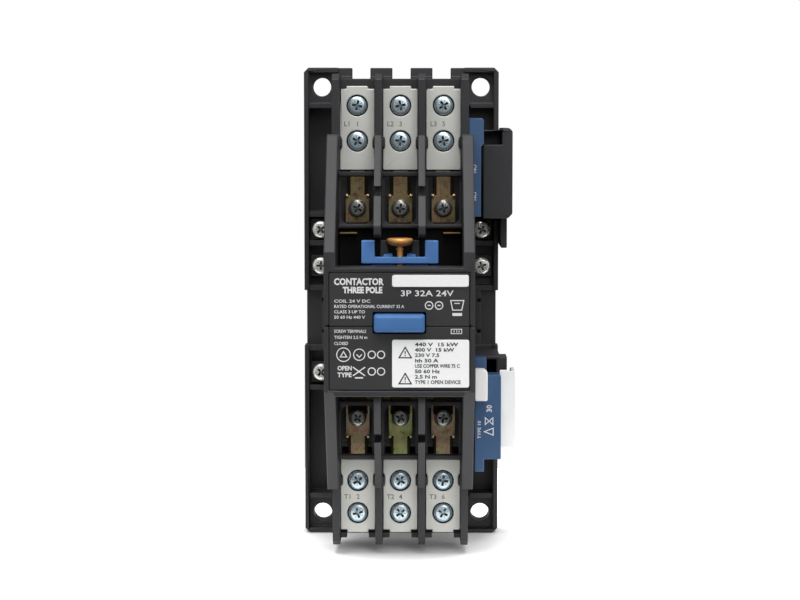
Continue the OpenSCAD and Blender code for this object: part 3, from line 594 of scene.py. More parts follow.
BRONZE = ((0.14, 0.10, 0.06), (0.40, 0.27, 0.14), (0.52, 0.42, 0.23), (0.46, 0.24, 0.15), (0.22, 0.19, 0.11))
PALE_BRONZE = ((0.22, 0.15, 0.09), (0.58, 0.42, 0.22), (0.70, 0.56, 0.36), (0.70, 0.36, 0.26),
               (0.34, 0.32, 0.16))
GREENISH = ((0.24, 0.25, 0.09), (0.56, 0.54, 0.20), (0.62, 0.70, 0.32), (0.74, 0.58, 0.28),
            (0.36, 0.48, 0.22))
FINISH["strap_bronze"] = passivated_steel("strap_bronze", BRONZE)
FINISH["strap_pale"] = passivated_steel("strap_pale", PALE_BRONZE)
FINISH["strap_green"] = passivated_steel("strap_green", GREENISH)
print("strap finishes:", [name for name in FINISH if name.startswith("strap")])

# %% [markdown]
# ## Label film, ink and enamelled wire
#
# The labels are a smooth plastic film. The printing on them, and on the plastic itself, is a pad-printed
# ink that covers unevenly, so its tone is broken up by a very fine noise. Film and ink have one make-up
# and differ in colour, gloss and how patchy they are. The coil is wound from enamelled wire: regular
# bands, each a round wire, are a wave texture that drives both the bump and the tone, which is painted
# shade darkening the enamel between turns.

# %% Film, ink and wire
def film_or_ink(name, colour, roughness, patchy):
    mat = bpy.data.materials.new(name)
    mat.use_nodes = True
    nodes, links = mat.node_tree.nodes, mat.node_tree.links
    nodes.clear()
    cover_frame = nodes.new("NodeFrame")
    cover_frame.label = "Uneven cover"
    place = nodes.new("ShaderNodeTexCoord")
    place.label = "Place on the print"
    grain = nodes.new("ShaderNodeTexNoise")
    grain.label = "Fine breaks"
    cover = nodes.new("ShaderNodeMix")
    cover.label = "Thin and full cover"
    relief = nodes.new("ShaderNodeBump")
    relief.label = "Film waviness"
    gloss = nodes.new("ShaderNodeMapRange")
    gloss.label = "Uneven gloss"
    skin = nodes.new("ShaderNodeBsdfPrincipled")
    skin.label = "Printed skin"
    out = nodes.new("ShaderNodeOutputMaterial")
    for node in (grain, cover, relief, gloss):
        node.parent = cover_frame
    for column, stack in enumerate(((place,), (grain,), (cover, relief, gloss), (skin,), (out,))):
        for row, node in enumerate(stack):
            node.location = (column * 230, -row * 260)

    grain.inputs["Scale"].default_value = 1300.0
    grain.inputs["Detail"].default_value = 4.0
    cover.data_type = "RGBA"
    cover.inputs["A"].default_value = [c * (1 - patchy) for c in colour] + [1]
    cover.inputs["B"].default_value = [min(1.0, c * (1 + patchy)) for c in colour] + [1]
    relief.inputs["Strength"].default_value = 0.08
    relief.inputs["Distance"].default_value = 0.00005
    gloss.inputs["To Min"].default_value = roughness - 0.06
    gloss.inputs["To Max"].default_value = roughness + 0.08

    links.new(place.outputs["Object"], grain.inputs["Vector"])
    links.new(grain.outputs["Fac"], cover.inputs["Factor"])
    links.new(grain.outputs["Fac"], relief.inputs["Height"])
    links.new(grain.outputs["Fac"], gloss.inputs["Value"])
    links.new(cover.outputs["Result"], skin.inputs["Base Color"])
    links.new(relief.outputs["Normal"], skin.inputs["Normal"])
    links.new(gloss.outputs["Result"], skin.inputs["Roughness"])
    links.new(skin.outputs["BSDF"], out.inputs["Surface"])
    return mat


def enamelled_wire(name, colour, dark):
    mat = bpy.data.materials.new(name)
    mat.use_nodes = True
    nodes, links = mat.node_tree.nodes, mat.node_tree.links
    nodes.clear()
    turns_frame = nodes.new("NodeFrame")
    turns_frame.label = "Turns of wire"
    place = nodes.new("ShaderNodeTexCoord")
    place.label = "Place on the coil"
    turns = nodes.new("ShaderNodeTexWave")
    turns.label = "One band a turn"
    tone = nodes.new("ShaderNodeMix")
    tone.label = "Painted shade between turns"
    relief = nodes.new("ShaderNodeBump")
    relief.label = "Round wire"
    skin = nodes.new("ShaderNodeBsdfPrincipled")
    skin.label = "Enamel"
    out = nodes.new("ShaderNodeOutputMaterial")
    for node in (turns, tone, relief):
        node.parent = turns_frame
    for column, stack in enumerate(((place,), (turns,), (tone, relief), (skin,), (out,))):
        for row, node in enumerate(stack):
            node.location = (column * 230, -row * 260)
    turns.bands_direction = "Y"
    turns.inputs["Scale"].default_value = 700.0
    turns.inputs["Distortion"].default_value = 0.6
    # Painted shade: the enamel is drawn darker between the turns.
    tone.data_type = "RGBA"
    tone.inputs["A"].default_value = list(dark) + [1]
    tone.inputs["B"].default_value = list(colour) + [1]
    relief.inputs["Strength"].default_value = 0.8
    relief.inputs["Distance"].default_value = 0.0002
    skin.inputs["Roughness"].default_value = 0.28
    links.new(place.outputs["Object"], turns.inputs["Vector"])
    links.new(turns.outputs["Fac"], tone.inputs["Factor"])
    links.new(turns.outputs["Fac"], relief.inputs["Height"])
    links.new(tone.outputs["Result"], skin.inputs["Base Color"])
    links.new(relief.outputs["Normal"], skin.inputs["Normal"])
    links.new(skin.outputs["BSDF"], out.inputs["Surface"])
    return mat


FINISH["label_film"] = film_or_ink("label_film", (0.87, 0.87, 0.86), 0.38, 0.03)
FINISH["white_ink"] = film_or_ink("white_ink", (0.72, 0.72, 0.72), 0.50, 0.22)
FINISH["grey_ink"] = film_or_ink("grey_ink", (0.17, 0.17, 0.16), 0.55, 0.25)
FINISH["black_ink"] = film_or_ink("black_ink", (0.018, 0.018, 0.020), 0.50, 0.30)
FINISH["coil_wire"] = enamelled_wire("coil_wire", (0.42, 0.13, 0.05), (0.10, 0.03, 0.015))
print("finishes in all:", len(FINISH))

# %% [markdown]
# ## Adding a piece
#
# The record of the frame says which body each node rides on and which slot its finish belongs to. A new
# piece takes its body from the node that it stands for, and its finish is given with it, mostly the slot
# of that node. Loose solids of one node, such as the twelve terminal screws, are found in its mesh by
# walking from point to point.

# %% Piece helpers
SAME_POINT = 0.002
WHOLE_FACE_ANGLE = 0.4
FLAT_EDGE_ANGLE = 0.3
ROUNDED_FROM_ANGLE = 32
ROUNDING_SEGMENTS = 2
BODY_OF = {node: body for body, names in frame["record"]["behaviour"]["bodies"].items() for node in names}
SLOT_OF = {row["node"]: row["material_slot"] for row in frame["record"]["subparts"]}


def add_piece(name, mesh, finish, node, stands_for=True):
    """Shows a mesh as a piece that rides like a node of the frame, with the finish it is given."""
    mesh.materials.clear()
    mesh.materials.append(FINISH[finish])
    piece = bpy.data.objects.new(name, mesh)
    bpy.context.scene.collection.objects.link(piece)
    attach(piece, BODY_OF[node])
    if stands_for:
        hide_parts(node)
    return piece


def merged_mesh(node, name, whole_faces):
    """Copy of a node's mesh with merged points, and flat faces made whole or their triangles evened out."""
    work = bmesh.new()
    work.from_mesh(frame["nodes"][node].data)
    bmesh.ops.remove_doubles(work, verts=work.verts, dist=SAME_POINT * MM)
    if whole_faces:
        bmesh.ops.dissolve_limit(work, angle_limit=radians(WHOLE_FACE_ANGLE), verts=work.verts,
                                 edges=work.edges)
    else:
        inner = [edge for edge in work.edges if edge.calc_face_angle(pi) < radians(FLAT_EDGE_ANGLE)]
        bmesh.ops.beautify_fill(work, faces=work.faces, edges=inner, method="ANGLE")
    mesh = bpy.data.meshes.new(name)
    work.to_mesh(mesh)
    work.free()
    return mesh


def loose_solids(node):
    """Lowest and highest corner of each separate solid of a node, from left to right and top to bottom."""
    work = bmesh.new()
    work.from_mesh(frame["nodes"][node].data)
    bmesh.ops.remove_doubles(work, verts=work.verts, dist=SAME_POINT * MM)
    seen = set()
    solids = []
    for start in work.verts:
        if start in seen:
            continue
        seen.add(start)
        island = [start]
        for vert in island:
            for edge in vert.link_edges:
                other = edge.other_vert(vert)
                if other not in seen:
                    seen.add(other)
                    island.append(other)
        low = Vector([min(v.co[k] for v in island) for k in range(3)])
        high = Vector([max(v.co[k] for v in island) for k in range(3)])
        solids.append((low, high))
    work.free()
    return sorted(solids, key=lambda pair: (-round(pair[0].z, 4), pair[0].x))


def closed_mesh(work, name):
    """Ends a mesh in the making: its faces are turned outward and it becomes a mesh of its own."""
    bmesh.ops.recalc_face_normals(work, faces=work.faces)
    mesh = bpy.data.meshes.new(name)
    work.to_mesh(mesh)
    work.free()
    return mesh


def shade_smooth(mesh):
    """Lets the shading run on from face to face."""
    for polygon in mesh.polygons:
        polygon.use_smooth = True


def round_edges(piece, width):
    """Rounds every edge sharper than about a third of a right angle; flat faces lead the shading."""
    shade_smooth(piece.data)
    rounding = piece.modifiers.new("rounded_edges", "BEVEL")
    rounding.width = width * MM
    rounding.segments = ROUNDING_SEGMENTS
    rounding.limit_method = "ANGLE"
    rounding.angle_limit = radians(ROUNDED_FROM_ANGLE)
    rounding.use_clamp_overlap = False
    shading = piece.modifiers.new("flat_faces_lead", "WEIGHTED_NORMAL")
    shading.mode = "FACE_AREA"
    shading.weight = 100


print("record:", len(SLOT_OF), "nodes with a slot")

# %% [markdown]
# ## Mouldings and stampings with softened edges
#
# A moulding never has a knife edge: the mould's own corners are rounded by a few tenths of a millimetre,
# and that thin round is what catches the light and makes plastic look moulded. Each moulding and stamping
# is copied from the frame, its edges are rounded, and the copy stands for the node. The round is wider on
# thick covers and narrower on thin films. The terminal plates are plain slabs, so the triangles of each
# flat side are joined to one face first. A moulding has faces with holes in them, which one face can't
# hold, so its triangles are only evened out.

# %% Softened pieces
SOFTENED = {
    "base_plate": ("mounting_plate", 0.35), "contact_housing": ("contact_housing_shell", 0.30),
    "magnet_housing": ("magnet_housing_shell", 0.35), "front_cover": ("front_cover_shell", 0.38),
    "upper_panel": ("upper_label_panel", 0.30), "lower_panel": ("lower_label_panel", 0.30),
    "arc_covers": ("arc_chamber_covers", 0.20), "contact_carrier": ("carrier_moulding", 0.35),
    "carrier_yoke": ("blue_yoke", 0.35), "aux_housing": ("auxiliary_block_shell", 0.45),
    "aux_slider": ("auxiliary_block_slider", 0.35), "side_label": ("side_label_carrier", 0.35),
    "module_housing": ("side_module_shell", 0.45), "module_cover": ("side_module_cover", 0.45),
    "module_tab": ("side_module_tab", 0.55),
    "module_marker": ("side_module_marker", 0.45), "marker_strip": ("marker_strip_film", 0.12),
    "rating_label": ("rating_label_film", 0.10), "wire_clamps": ("clamp_washers", 0.30),
    "coil_bobbin": ("bobbin_moulding", 0.30), "armature": ("armature_stack", 0.20),
    "fixed_core": ("core_stack", 0.20), "coil_terminals": ("coil_terminal_tags", 0.12),
    "rail_latch": ("rail_latch_plate", 0.20), "arc_plates": ("brass_and_copper_strips", 0.10),
}
for number in (1, 2, 3):
    SOFTENED[f"contact_bridge_{number}"] = (f"moving_bridge_{number}", 0.20)
    for end in ("line", "load"):
        SOFTENED[f"{end}_plate_{number}"] = (f"{end}_terminal_plate_{number}", 0.28)
        SOFTENED[f"{end}_contact_{number}"] = (f"{end}_contact_strip_{number}", 0.20)

# The yoke takes the lighter blue that is painted against its shade.
FINISH_FOR = {"upper_panel": "panel_plastic", "lower_panel": "panel_plastic", "arc_plates": "dull_brass",
              "carrier_yoke": "yoke_plastic"}
for number in (1, 2, 3):
    FINISH_FOR[f"line_contact_{number}"] = "strip_bronze"
    FINISH_FOR[f"load_contact_{number}"] = "strip_bronze"
for node, (name, width) in SOFTENED.items():
    mesh = merged_mesh(node, name, whole_faces="_plate_" in node)
    piece = add_piece(name, mesh, FINISH_FOR.get(node, SLOT_OF[node]), node)
    round_edges(piece, width)
print("softened:", len(SOFTENED), "pieces")

# %% [markdown]
# ## Screws with a cross recess
#
# A pan head screw is cold headed: its head is a low dome with a round shoulder, and a punch leaves a
# tapered cross with four short marks between its arms. The thread below is rolled. Head and shank are
# turned from one profile, and a tapered cross is taken away from it once. The result is copied to every
# screw of its kind, each stopped at a different angle, as a hand-driven screw is.

# %% Turned screws
def turned(work, profile, sides, point_at):
    """Adds a closed turned shape to a mesh in the making. The profile is (radius, place on the axis) in
    millimetres, and starts and ends on the axis; point_at turns (radius, place, angle) into a point."""
    rings = []
    for radius, place in profile:
        if radius == 0:
            rings.append([work.verts.new(point_at(0, place, 0))])
        else:
            rings.append([work.verts.new(point_at(radius, place, 2 * pi * k / sides)) for k in range(sides)])
    for near, far in zip(rings, rings[1:]):
        for k in range(sides):
            n = (k + 1) % sides
            corners = [near[k % len(near)], near[n % len(near)], far[n % len(far)], far[k % len(far)]]
            work.faces.new(list(dict.fromkeys(corners)))


def along_depth(radius, place, angle):
    return Vector((radius * cos(angle) * MM, -place * MM, radius * sin(angle) * MM))


def along_height(radius, place, angle):
    return Vector((radius * cos(angle) * MM, radius * sin(angle) * MM, place * MM))


def cross_outline(reach, half):
    """Twelve corners of a plus sign."""
    arm = [(half, half), (half, reach), (-half, reach)]
    return [(x * cos(q * pi / 2) - y * sin(q * pi / 2), x * sin(q * pi / 2) + y * cos(q * pi / 2))
            for q in range(4) for x, y in arm]


def tapered(work, top, bottom, top_depth, bottom_depth):
    """Adds a closed loft between two outlines of (across, height)."""
    front = [work.verts.new(at(x, z, top_depth)) for x, z in top]
    back = [work.verts.new(at(x, z, bottom_depth)) for x, z in bottom]
    work.faces.new(front)
    work.faces.new(back[::-1])
    for k in range(len(front)):
        n = (k + 1) % len(front)
        work.faces.new([front[n], front[k], back[k], back[n]])


SCREW_SIDES = 40
DOME_STEPS = 6
THREAD_PITCH = 0.7
THREAD_CORE = 0.84
PUNCH_ABOVE = 0.5
PUNCH_FLOOR = 0.30
CROSS_REACH = 0.60
MARK_FLOOR = 0.80
MARK_CORNERS = ((0.26, -0.022), (0.60, -0.022), (0.60, 0.022), (0.26, 0.022))


def screw_mesh(name, head_radius, head_height, shank_radius, shank_length):
    """One screw with the under side of its head at depth zero, its details as shares of its head."""
    dome = []
    for step in range(DOME_STEPS + 1):
        turn = step / DOME_STEPS * pi / 2
        dome.append((head_radius * (0.60 + 0.40 * cos(turn)), head_height * (0.45 + 0.50 * sin(turn))))
    thread = []
    for ridge in range(int(shank_length / THREAD_PITCH)):
        thread.append((shank_radius * THREAD_CORE, -shank_length + 0.3 + ridge * THREAD_PITCH))
        thread.append((shank_radius, -shank_length + 0.65 + ridge * THREAD_PITCH))
    profile = [(0, -shank_length), (shank_radius * 0.7, -shank_length)] + thread
    profile += [(shank_radius * THREAD_CORE, 0), (head_radius * 0.96, 0), (head_radius, 0.12 * head_height)]
    profile += dome
    profile.append((0, head_height))
    work = bmesh.new()
    turned(work, profile, SCREW_SIDES, along_depth)
    body = closed_mesh(work, name)

    work = bmesh.new()
    reach = head_radius * CROSS_REACH
    mouth = cross_outline(reach, head_radius * 0.135)
    root = cross_outline(reach * 0.62, head_radius * 0.10)
    tapered(work, mouth, root, head_height + PUNCH_ABOVE, head_height * PUNCH_FLOOR)
    for quarter in range(4):
        turn = (quarter + 0.5) * pi / 2
        mark = []
        for along, side in MARK_CORNERS:
            mark.append((head_radius * (along * cos(turn) - side * sin(turn)),
                         head_radius * (along * sin(turn) + side * cos(turn))))
        tapered(work, mark, mark, head_height + PUNCH_ABOVE, head_height * MARK_FLOOR)
    blank = bpy.data.objects.new("blank", body)
    punch = bpy.data.objects.new("punch", closed_mesh(work, "punch"))
    for shape in (blank, punch):
        bpy.context.scene.collection.objects.link(shape)
    recess = blank.modifiers.new("recess", "BOOLEAN")
    recess.operation = "DIFFERENCE"
    recess.solver = "EXACT"
    recess.object = punch
    graph = bpy.context.evaluated_depsgraph_get()
    finished = bpy.data.meshes.new_from_object(blank.evaluated_get(graph))
    for shape in (blank, punch):
        bpy.data.objects.remove(shape)
    return finished


SHANK_SHARE = 0.55
TURN_EACH = 67
SCREW_SHARP_ANGLE = 28


def screws_for(node, name, head_height, finish, first_turn):
    """Adds one piece with a detailed screw at every solid of a node."""
    solids = loose_solids(node)
    low, high = solids[0]
    head_radius = (high.x - low.x) / 2 / MM
    length = (high.y - low.y) / MM - head_height
    pattern = screw_mesh(name + "_pattern", head_radius, head_height, head_radius * SHANK_SHARE, length)
    work = bmesh.new()
    for index, (low, high) in enumerate(solids):
        before = len(work.verts)
        work.from_mesh(pattern)
        work.verts.ensure_lookup_table()
        seat = Vector(((low.x + high.x) / 2, low.y + head_height * MM, (low.z + high.z) / 2))
        placed = Matrix.Translation(seat)
        turn = Matrix.Rotation(radians(first_turn + index * TURN_EACH), 4, "Y")
        bmesh.ops.transform(work, matrix=placed @ turn, verts=work.verts[before:])
    mesh = bpy.data.meshes.new(name)
    work.to_mesh(mesh)
    work.free()
    add_piece(name, mesh, finish, node)
    shade_smooth(mesh)
    mesh.set_sharp_from_angle(angle=radians(SCREW_SHARP_ANGLE))
    print(name, len(solids), "screws, head radius", round(head_radius, 2), "mm")


screws_for("terminal_screws", "clamp_screws", head_height=2.3, finish="zinc_screw", first_turn=12)
screws_for("strap_screws", "well_screws", head_height=2.2, finish="well_screw", first_turn=31)
screws_for("body_screws", "plate_screws", head_height=2.2, finish="nickel_screw", first_turn=48)

# %% [markdown]
# ## Straps in the wells
#
# A strap is stamped from steel strip, then its shoulders are curled into two small hooks that keep the
# clamp from turning. Its outline is rounded by the punch. The straps of the lower row also have a thin
# ear up each side of the screw. The wide part, the neck and the ears are one outline, and each hook is a
# short curl pushed across.

# %% Straps
ARC_STEPS = 4
HOOK_STEPS = 9
HOOK_START = -90
HOOK_SWEEP = 215


def rounded_outline(corners, radius):
    """Outline with each corner replaced by a short arc."""
    outline = []
    count = len(corners)
    for k in range(count):
        here = Vector(corners[k])
        before = (Vector(corners[k - 1]) - here).normalized()
        after = (Vector(corners[(k + 1) % count]) - here).normalized()
        for step in range(ARC_STEPS + 1):
            t = step / ARC_STEPS
            outline.append(here + before * radius * (1 - t) ** 2 + after * radius * t ** 2)
    return [(p.x, p.y) for p in outline]


def curl(work, across, height, depth, width, radius, thickness, facing):
    """Adds a small hook: a strip of metal bent through most of a circle."""
    outer = []
    inner = []
    for k in range(HOOK_STEPS + 1):
        turn = radians(HOOK_START + HOOK_SWEEP * k / HOOK_STEPS)
        outer.append((radius * cos(turn) * facing, radius * (1 + sin(turn))))
        inner.append(((radius - thickness) * cos(turn) * facing, radius + (radius - thickness) * sin(turn)))
    section = outer + inner[::-1]
    sides = []
    for side in (-width / 2, width / 2):
        sides.append([work.verts.new(at(across + side, height + z, depth + d)) for z, d in section])
    count = len(section)
    for k in range(count):
        n = (k + 1) % count
        work.faces.new([sides[0][k], sides[0][n], sides[1][n], sides[1][k]])
    for k in range(HOOK_STEPS):
        other = count - 1 - k
        work.faces.new([sides[0][k], sides[0][k + 1], sides[0][other - 1], sides[0][other]])
        work.faces.new([sides[1][k], sides[1][other], sides[1][other - 1], sides[1][k + 1]])


STRAP_THICK = 1.2
NECK_HALF = 2.55
STRAP_BELOW_HEAD = 1.0
PUNCHED_CORNER = 0.3
SHOULDER_AT = {"line": 9.8, "load": 11.2}
EAR_WIDTH = 0.75
EAR_LENGTH = 3.2
HOOK_WIDTH = 1.0
HOOK_RADIUS = 0.95
HOOK_THICK = 0.42
STRAP_FINISH = {"line": ("strap_bronze", "strap_bronze", "strap_bronze"),
                "load": ("strap_pale", "strap_green", "strap_pale")}
for end in ("line", "load"):
    away = 1 if end == "line" else -1
    for number in (1, 2, 3):
        node = f"{end}_strap_{number}"
        left, right, bottom, top = node_span(node)
        middle = (left + right) / 2
        half = (right - left) / 2
        inner_end = bottom if end == "line" else top
        outer_end = top if end == "line" else bottom
        front = node_top(node) - STRAP_BELOW_HEAD
        shoulder = inner_end + away * SHOULDER_AT[end]
        corners = [(middle - half, inner_end), (middle - half, shoulder), (middle - NECK_HALF, shoulder),
                   (middle - NECK_HALF, outer_end), (middle + NECK_HALF, outer_end),
                   (middle + NECK_HALF, shoulder), (middle + half, shoulder), (middle + half, inner_end)]
        if end == "load":
            # The thin ears beside the screw: the outline steps in between them.
            step_in = inner_end - EAR_LENGTH
            corners += [(middle + half - EAR_WIDTH, inner_end), (middle + half - EAR_WIDTH, step_in),
                        (middle - half + EAR_WIDTH, step_in), (middle - half + EAR_WIDTH, inner_end)]
        outline = rounded_outline(corners, PUNCHED_CORNER)
        work = bmesh.new()
        tapered(work, outline, outline, front, front - STRAP_THICK)
        for side in (-1, 1):
            curl(work, middle + side * (half - HOOK_WIDTH / 2), shoulder - away * 0.2, front - 0.05,
                 HOOK_WIDTH, HOOK_RADIUS, HOOK_THICK, away)
        mesh = closed_mesh(work, f"{end}_well_strap_{number}")
        piece = add_piece(mesh.name, mesh, STRAP_FINISH[end][number - 1], node)
        round_edges(piece, 0.10)
print("straps:", 2 * len(POLES))

# %% [markdown]
# ## Copper guide pin
#
# The mushroom-headed pin in the window is turned from copper bar: a round bowl with a flat top, a small
# collar and a stem. It stands upright in the yoke, so it is turned round the height.

# %% Guide pin
pin_low, pin_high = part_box("guide_pin")
pin_x = (pin_low.x + pin_high.x) / 2
pin_y = (pin_low.y + pin_high.y) / 2
disc = (pin_high.x - pin_low.x) / 2 / MM
foot = pin_low.z / MM
head = pin_high.z / MM
PIN_SIDES = 64
BOWL_STEPS = 8
stem = 1.05
collar = stem + 0.25
pin_profile = [(0, foot), (stem - 0.3, foot), (stem, foot + 0.3), (stem, head - 4.2), (collar, head - 4.0),
               (collar, head - 3.5), (stem, head - 3.3), (stem, head - 3.0)]
for step in range(BOWL_STEPS + 1):
    turn = step / BOWL_STEPS * pi / 2
    pin_profile.append((stem + (disc - stem) * sin(turn), head - 2.8 + 2.0 * (1 - cos(turn))))
pin_profile += [(disc, head - 0.55), (disc - 0.15, head - 0.2), (disc - 0.6, head), (0, head)]
work = bmesh.new()
turned(work, pin_profile, PIN_SIDES, along_height)
bmesh.ops.translate(work, vec=(pin_x, pin_y, 0), verts=work.verts)
pin = add_piece("copper_guide_pin", closed_mesh(work, "copper_guide_pin"), "pin_copper", "guide_pin")
round_edges(pin, 0.06)
print("guide pin:", round(head - foot, 1), "mm long")

# %% [markdown]
# ## Saddle behind the pin
#
# Behind the pin the carrier has a small dark saddle with two sloping cheeks, which keeps the pin from
# tipping. It is a flat plate with a notch, drawn as one outline and rounded like the other mouldings.

# %% Saddle
SADDLE_BEHIND = 17.9
SADDLE_HALF = 6.9
CHEEK_INNER = 4.6
NOTCH_HALF = 2.2
NOTCH_ABOVE = 2.2
left, right, bottom, top = node_span("carrier_yoke")
saddle_seat = node_top("contact_carrier") - SADDLE_BEHIND
foot = bottom + 3.2
notch = foot + NOTCH_ABOVE
outline = [(-SADDLE_HALF, foot), (SADDLE_HALF, foot), (SADDLE_HALF, top), (CHEEK_INNER, top),
           (NOTCH_HALF, notch), (-NOTCH_HALF, notch), (-CHEEK_INNER, top), (-SADDLE_HALF, top)]
work = bmesh.new()
tapered(work, outline, outline, saddle_seat + 1.4, saddle_seat + 0.2)
saddle = add_piece("pin_saddle", closed_mesh(work, "pin_saddle"), "black_plastic", "contact_carrier",
                   stands_for=False)
round_edges(saddle, 0.25)
print("saddle at depth", round(saddle_seat, 1), "mm")

# %% [markdown]
# ## Indicator bar
#
# The blue bar between the two panels shows whether the switch is closed. It is a moulded block with round
# corners and a wide bevel round its face, built as a loft through outlines that shrink towards the front.

# %% Indicator bar
left, right, bottom, top = node_span("position_indicator")
bar_top = node_top("position_indicator")
bar_x = (left + right) / 2
bar_z = (bottom + top) / 2
CORNER_STEPS = 6
BAR_CORNER = 0.9
SMALLEST_CORNER = 0.35
# Each step of the loft: how far the outline is drawn in, and how far it lies behind the face.
BAR_LOFT = ((0.3, 7.5), (0, 7.2), (0, 1.5), (0.12, 1.1), (0.75, 0.22), (1.0, 0.06), (1.35, 0))


def round_cornered(half_width, half_height, radius):
    """Corner points of a rectangle with round corners, anticlockwise."""
    points = []
    for quarter, (sx, sz) in enumerate(((1, 1), (-1, 1), (-1, -1), (1, -1))):
        for step in range(CORNER_STEPS + 1):
            turn = (quarter + step / CORNER_STEPS) * pi / 2
            points.append((sx * (half_width - radius) + radius * cos(turn),
                           sz * (half_height - radius) + radius * sin(turn)))
    return points


work = bmesh.new()
rings = []
half_width = (right - left) / 2
half_height = (top - bottom) / 2
for inset, below in BAR_LOFT:
    corner = max(SMALLEST_CORNER, BAR_CORNER - inset * 0.4)
    outline = round_cornered(half_width - inset, half_height - inset, corner)
    rings.append([work.verts.new(at(bar_x + x, bar_z + z, bar_top - below)) for x, z in outline])
for back, front in zip(rings, rings[1:]):
    for k in range(len(back)):
        n = (k + 1) % len(back)
        work.faces.new([back[k], back[n], front[n], front[k]])
work.faces.new(rings[0])
work.faces.new(rings[-1])
bar_mesh = closed_mesh(work, "blue_indicator_bar")
add_piece("blue_indicator_bar", bar_mesh, "blue_plastic", "position_indicator")
for polygon in bar_mesh.polygons:
    polygon.use_smooth = len(polygon.vertices) == 4
bar_mesh.set_sharp_from_angle(angle=radians(40))
print("indicator bar:", round(right - left, 1), "x", round(top - bottom, 1), "mm")

# %% [markdown]
# ## Printing
#
# The panels, plates and side blocks are pad printed. The ink is a film of three hundredths of a
# millimetre, so each word and mark is a real, very thin raised shape. The words are plain ones that say
# what such a switch is, and the terminals have the usual numbers: odd where the supply comes in, even
# where the load is joined.

# %% Printing helpers
INK_THICK = 0.03
CAP_SHARE = 0.70
RING_SIDES = 24
PEN = 0.34
RING_PEN = 0.32
SMALL_RING_PEN = 0.36
BROAD_PEN = 0.40
SHARPEST_MITRE = 0.4


def words(work, text, cap_height, across, height, depth, align="LEFT", bold=0.0, turn=0.0, width=None):
    """Adds one line of words, with its middle height at the given place."""
    line = bpy.data.curves.new("line", "FONT")
    line.body = text
    line.size = cap_height * MM / CAP_SHARE
    line.extrude = INK_THICK * MM / 2
    line.offset = bold * MM
    line.align_x = align
    line.resolution_u = 2
    holder = bpy.data.objects.new("line", line)
    mesh = bpy.data.meshes.new_from_object(holder)
    if width is not None:
        reach = max(v.co.x for v in mesh.vertices) - min(v.co.x for v in mesh.vertices)
        for vert in mesh.vertices:
            vert.co.x *= width * MM / reach
    before = len(work.verts)
    work.from_mesh(mesh)
    work.verts.ensure_lookup_table()
    centred = Matrix.Translation((0, -cap_height * MM / 2, INK_THICK * MM / 2))
    upright = Matrix.Rotation(pi / 2, 4, "X") @ centred
    placed = Matrix.Translation(at(across, height, depth)) @ Matrix.Rotation(-radians(turn), 4, "Y")
    bmesh.ops.transform(work, matrix=placed @ upright, verts=work.verts[before:])
    bpy.data.objects.remove(holder)
    bpy.data.curves.remove(line)


def stroke(work, points, thick, depth, closed=False):
    """Adds one mitred band of ink along a line, so that no two of its faces overlap."""
    count = len(points)
    borders = []
    for k in range(count):
        here = Vector(points[k])
        onward = (Vector(points[(k + 1) % count]) - here).normalized()
        arriving = (here - Vector(points[k - 1])).normalized()
        if not closed and k == 0:
            arriving = onward
        if not closed and k == count - 1:
            onward = arriving
        side = Vector((-arriving.y - onward.y, arriving.x + onward.x)).normalized()
        reach = thick / 2 / max(SHARPEST_MITRE, side.dot(Vector((-arriving.y, arriving.x))))
        left_point = here + side * reach
        right_point = here - side * reach
        borders.append([work.verts.new(at(left_point.x, left_point.y, depth + INK_THICK)),
                        work.verts.new(at(right_point.x, right_point.y, depth + INK_THICK)),
                        work.verts.new(at(right_point.x, right_point.y, depth)),
                        work.verts.new(at(left_point.x, left_point.y, depth))])
    for k in range(count if closed else count - 1):
        near = borders[k]
        far = borders[(k + 1) % count]
        for corner in range(4):
            other = (corner + 1) % 4
            work.faces.new([near[corner], near[other], far[other], far[corner]])
    if not closed:
        work.faces.new(borders[0])
        work.faces.new(borders[-1])


def ring(work, across, height, radius, thick, depth):
    """Adds a ring of ink."""
    turns = [2 * pi * k / RING_SIDES for k in range(RING_SIDES)]
    points = [(across + radius * cos(turn), height + radius * sin(turn)) for turn in turns]
    stroke(work, points, thick, depth, closed=True)


def finish_print(work, name, finish, node):
    """Adds the ink as a piece that lies on a node without standing for it."""
    add_piece(name, closed_mesh(work, name), finish, node, stands_for=False)


# %% [markdown]
# The upper panel has two bold lines at the left with four small ones below, a rating under the white
# strip, and three marks at the right. The lower panel has three small lines, a little box of bars and two
# rows of marks. Where two strokes cross, one is printed over the other, a hundredth of a millimetre
# higher.

# %% Panel printing
OVERPRINT = 0.012
left, right, bottom, top = node_span("upper_panel")
margin = left + 1.7
work = bmesh.new()
words(work, "CONTACTOR", 2.2, margin, top - 3.1, PANEL_TOP, bold=0.12, width=17.1)
words(work, "THREE POLE", 2.0, margin + 3.1, top - 6.0, PANEL_TOP, bold=0.14, width=13.6)
SMALL_CAPITAL = 1.05
SMALL_LINES = (("COIL 24 V DC", 12.4), ("RATED OPERATIONAL CURRENT 32 A", 24.0), ("CLASS 3 UP TO", 10.6),
               ("50 60 Hz 440 V", 10.6))
MARK_RINGS = (10.2, 13.6)
row = top - 11.3
for index, (text, width) in enumerate(SMALL_LINES):
    height = top - 9.8 - index * 1.85
    words(work, text, SMALL_CAPITAL, margin, height, PANEL_TOP, bold=0.02, width=width)
words(work, "3P 32A 24V", 2.0, 0.3, top - 7.1, PANEL_TOP, bold=0.03, width=18.1)
for across in MARK_RINGS:
    ring(work, across, row, 1.3, PEN, PANEL_TOP)
    stroke(work, [(across - 0.5, row), (across + 0.5, row)], BROAD_PEN, PANEL_TOP)
cup = [(17.6, top - 9.6), (18.3, top - 12.9), (21.4, top - 12.9), (22.1, top - 9.6)]
stroke(work, cup, PEN, PANEL_TOP, closed=True)
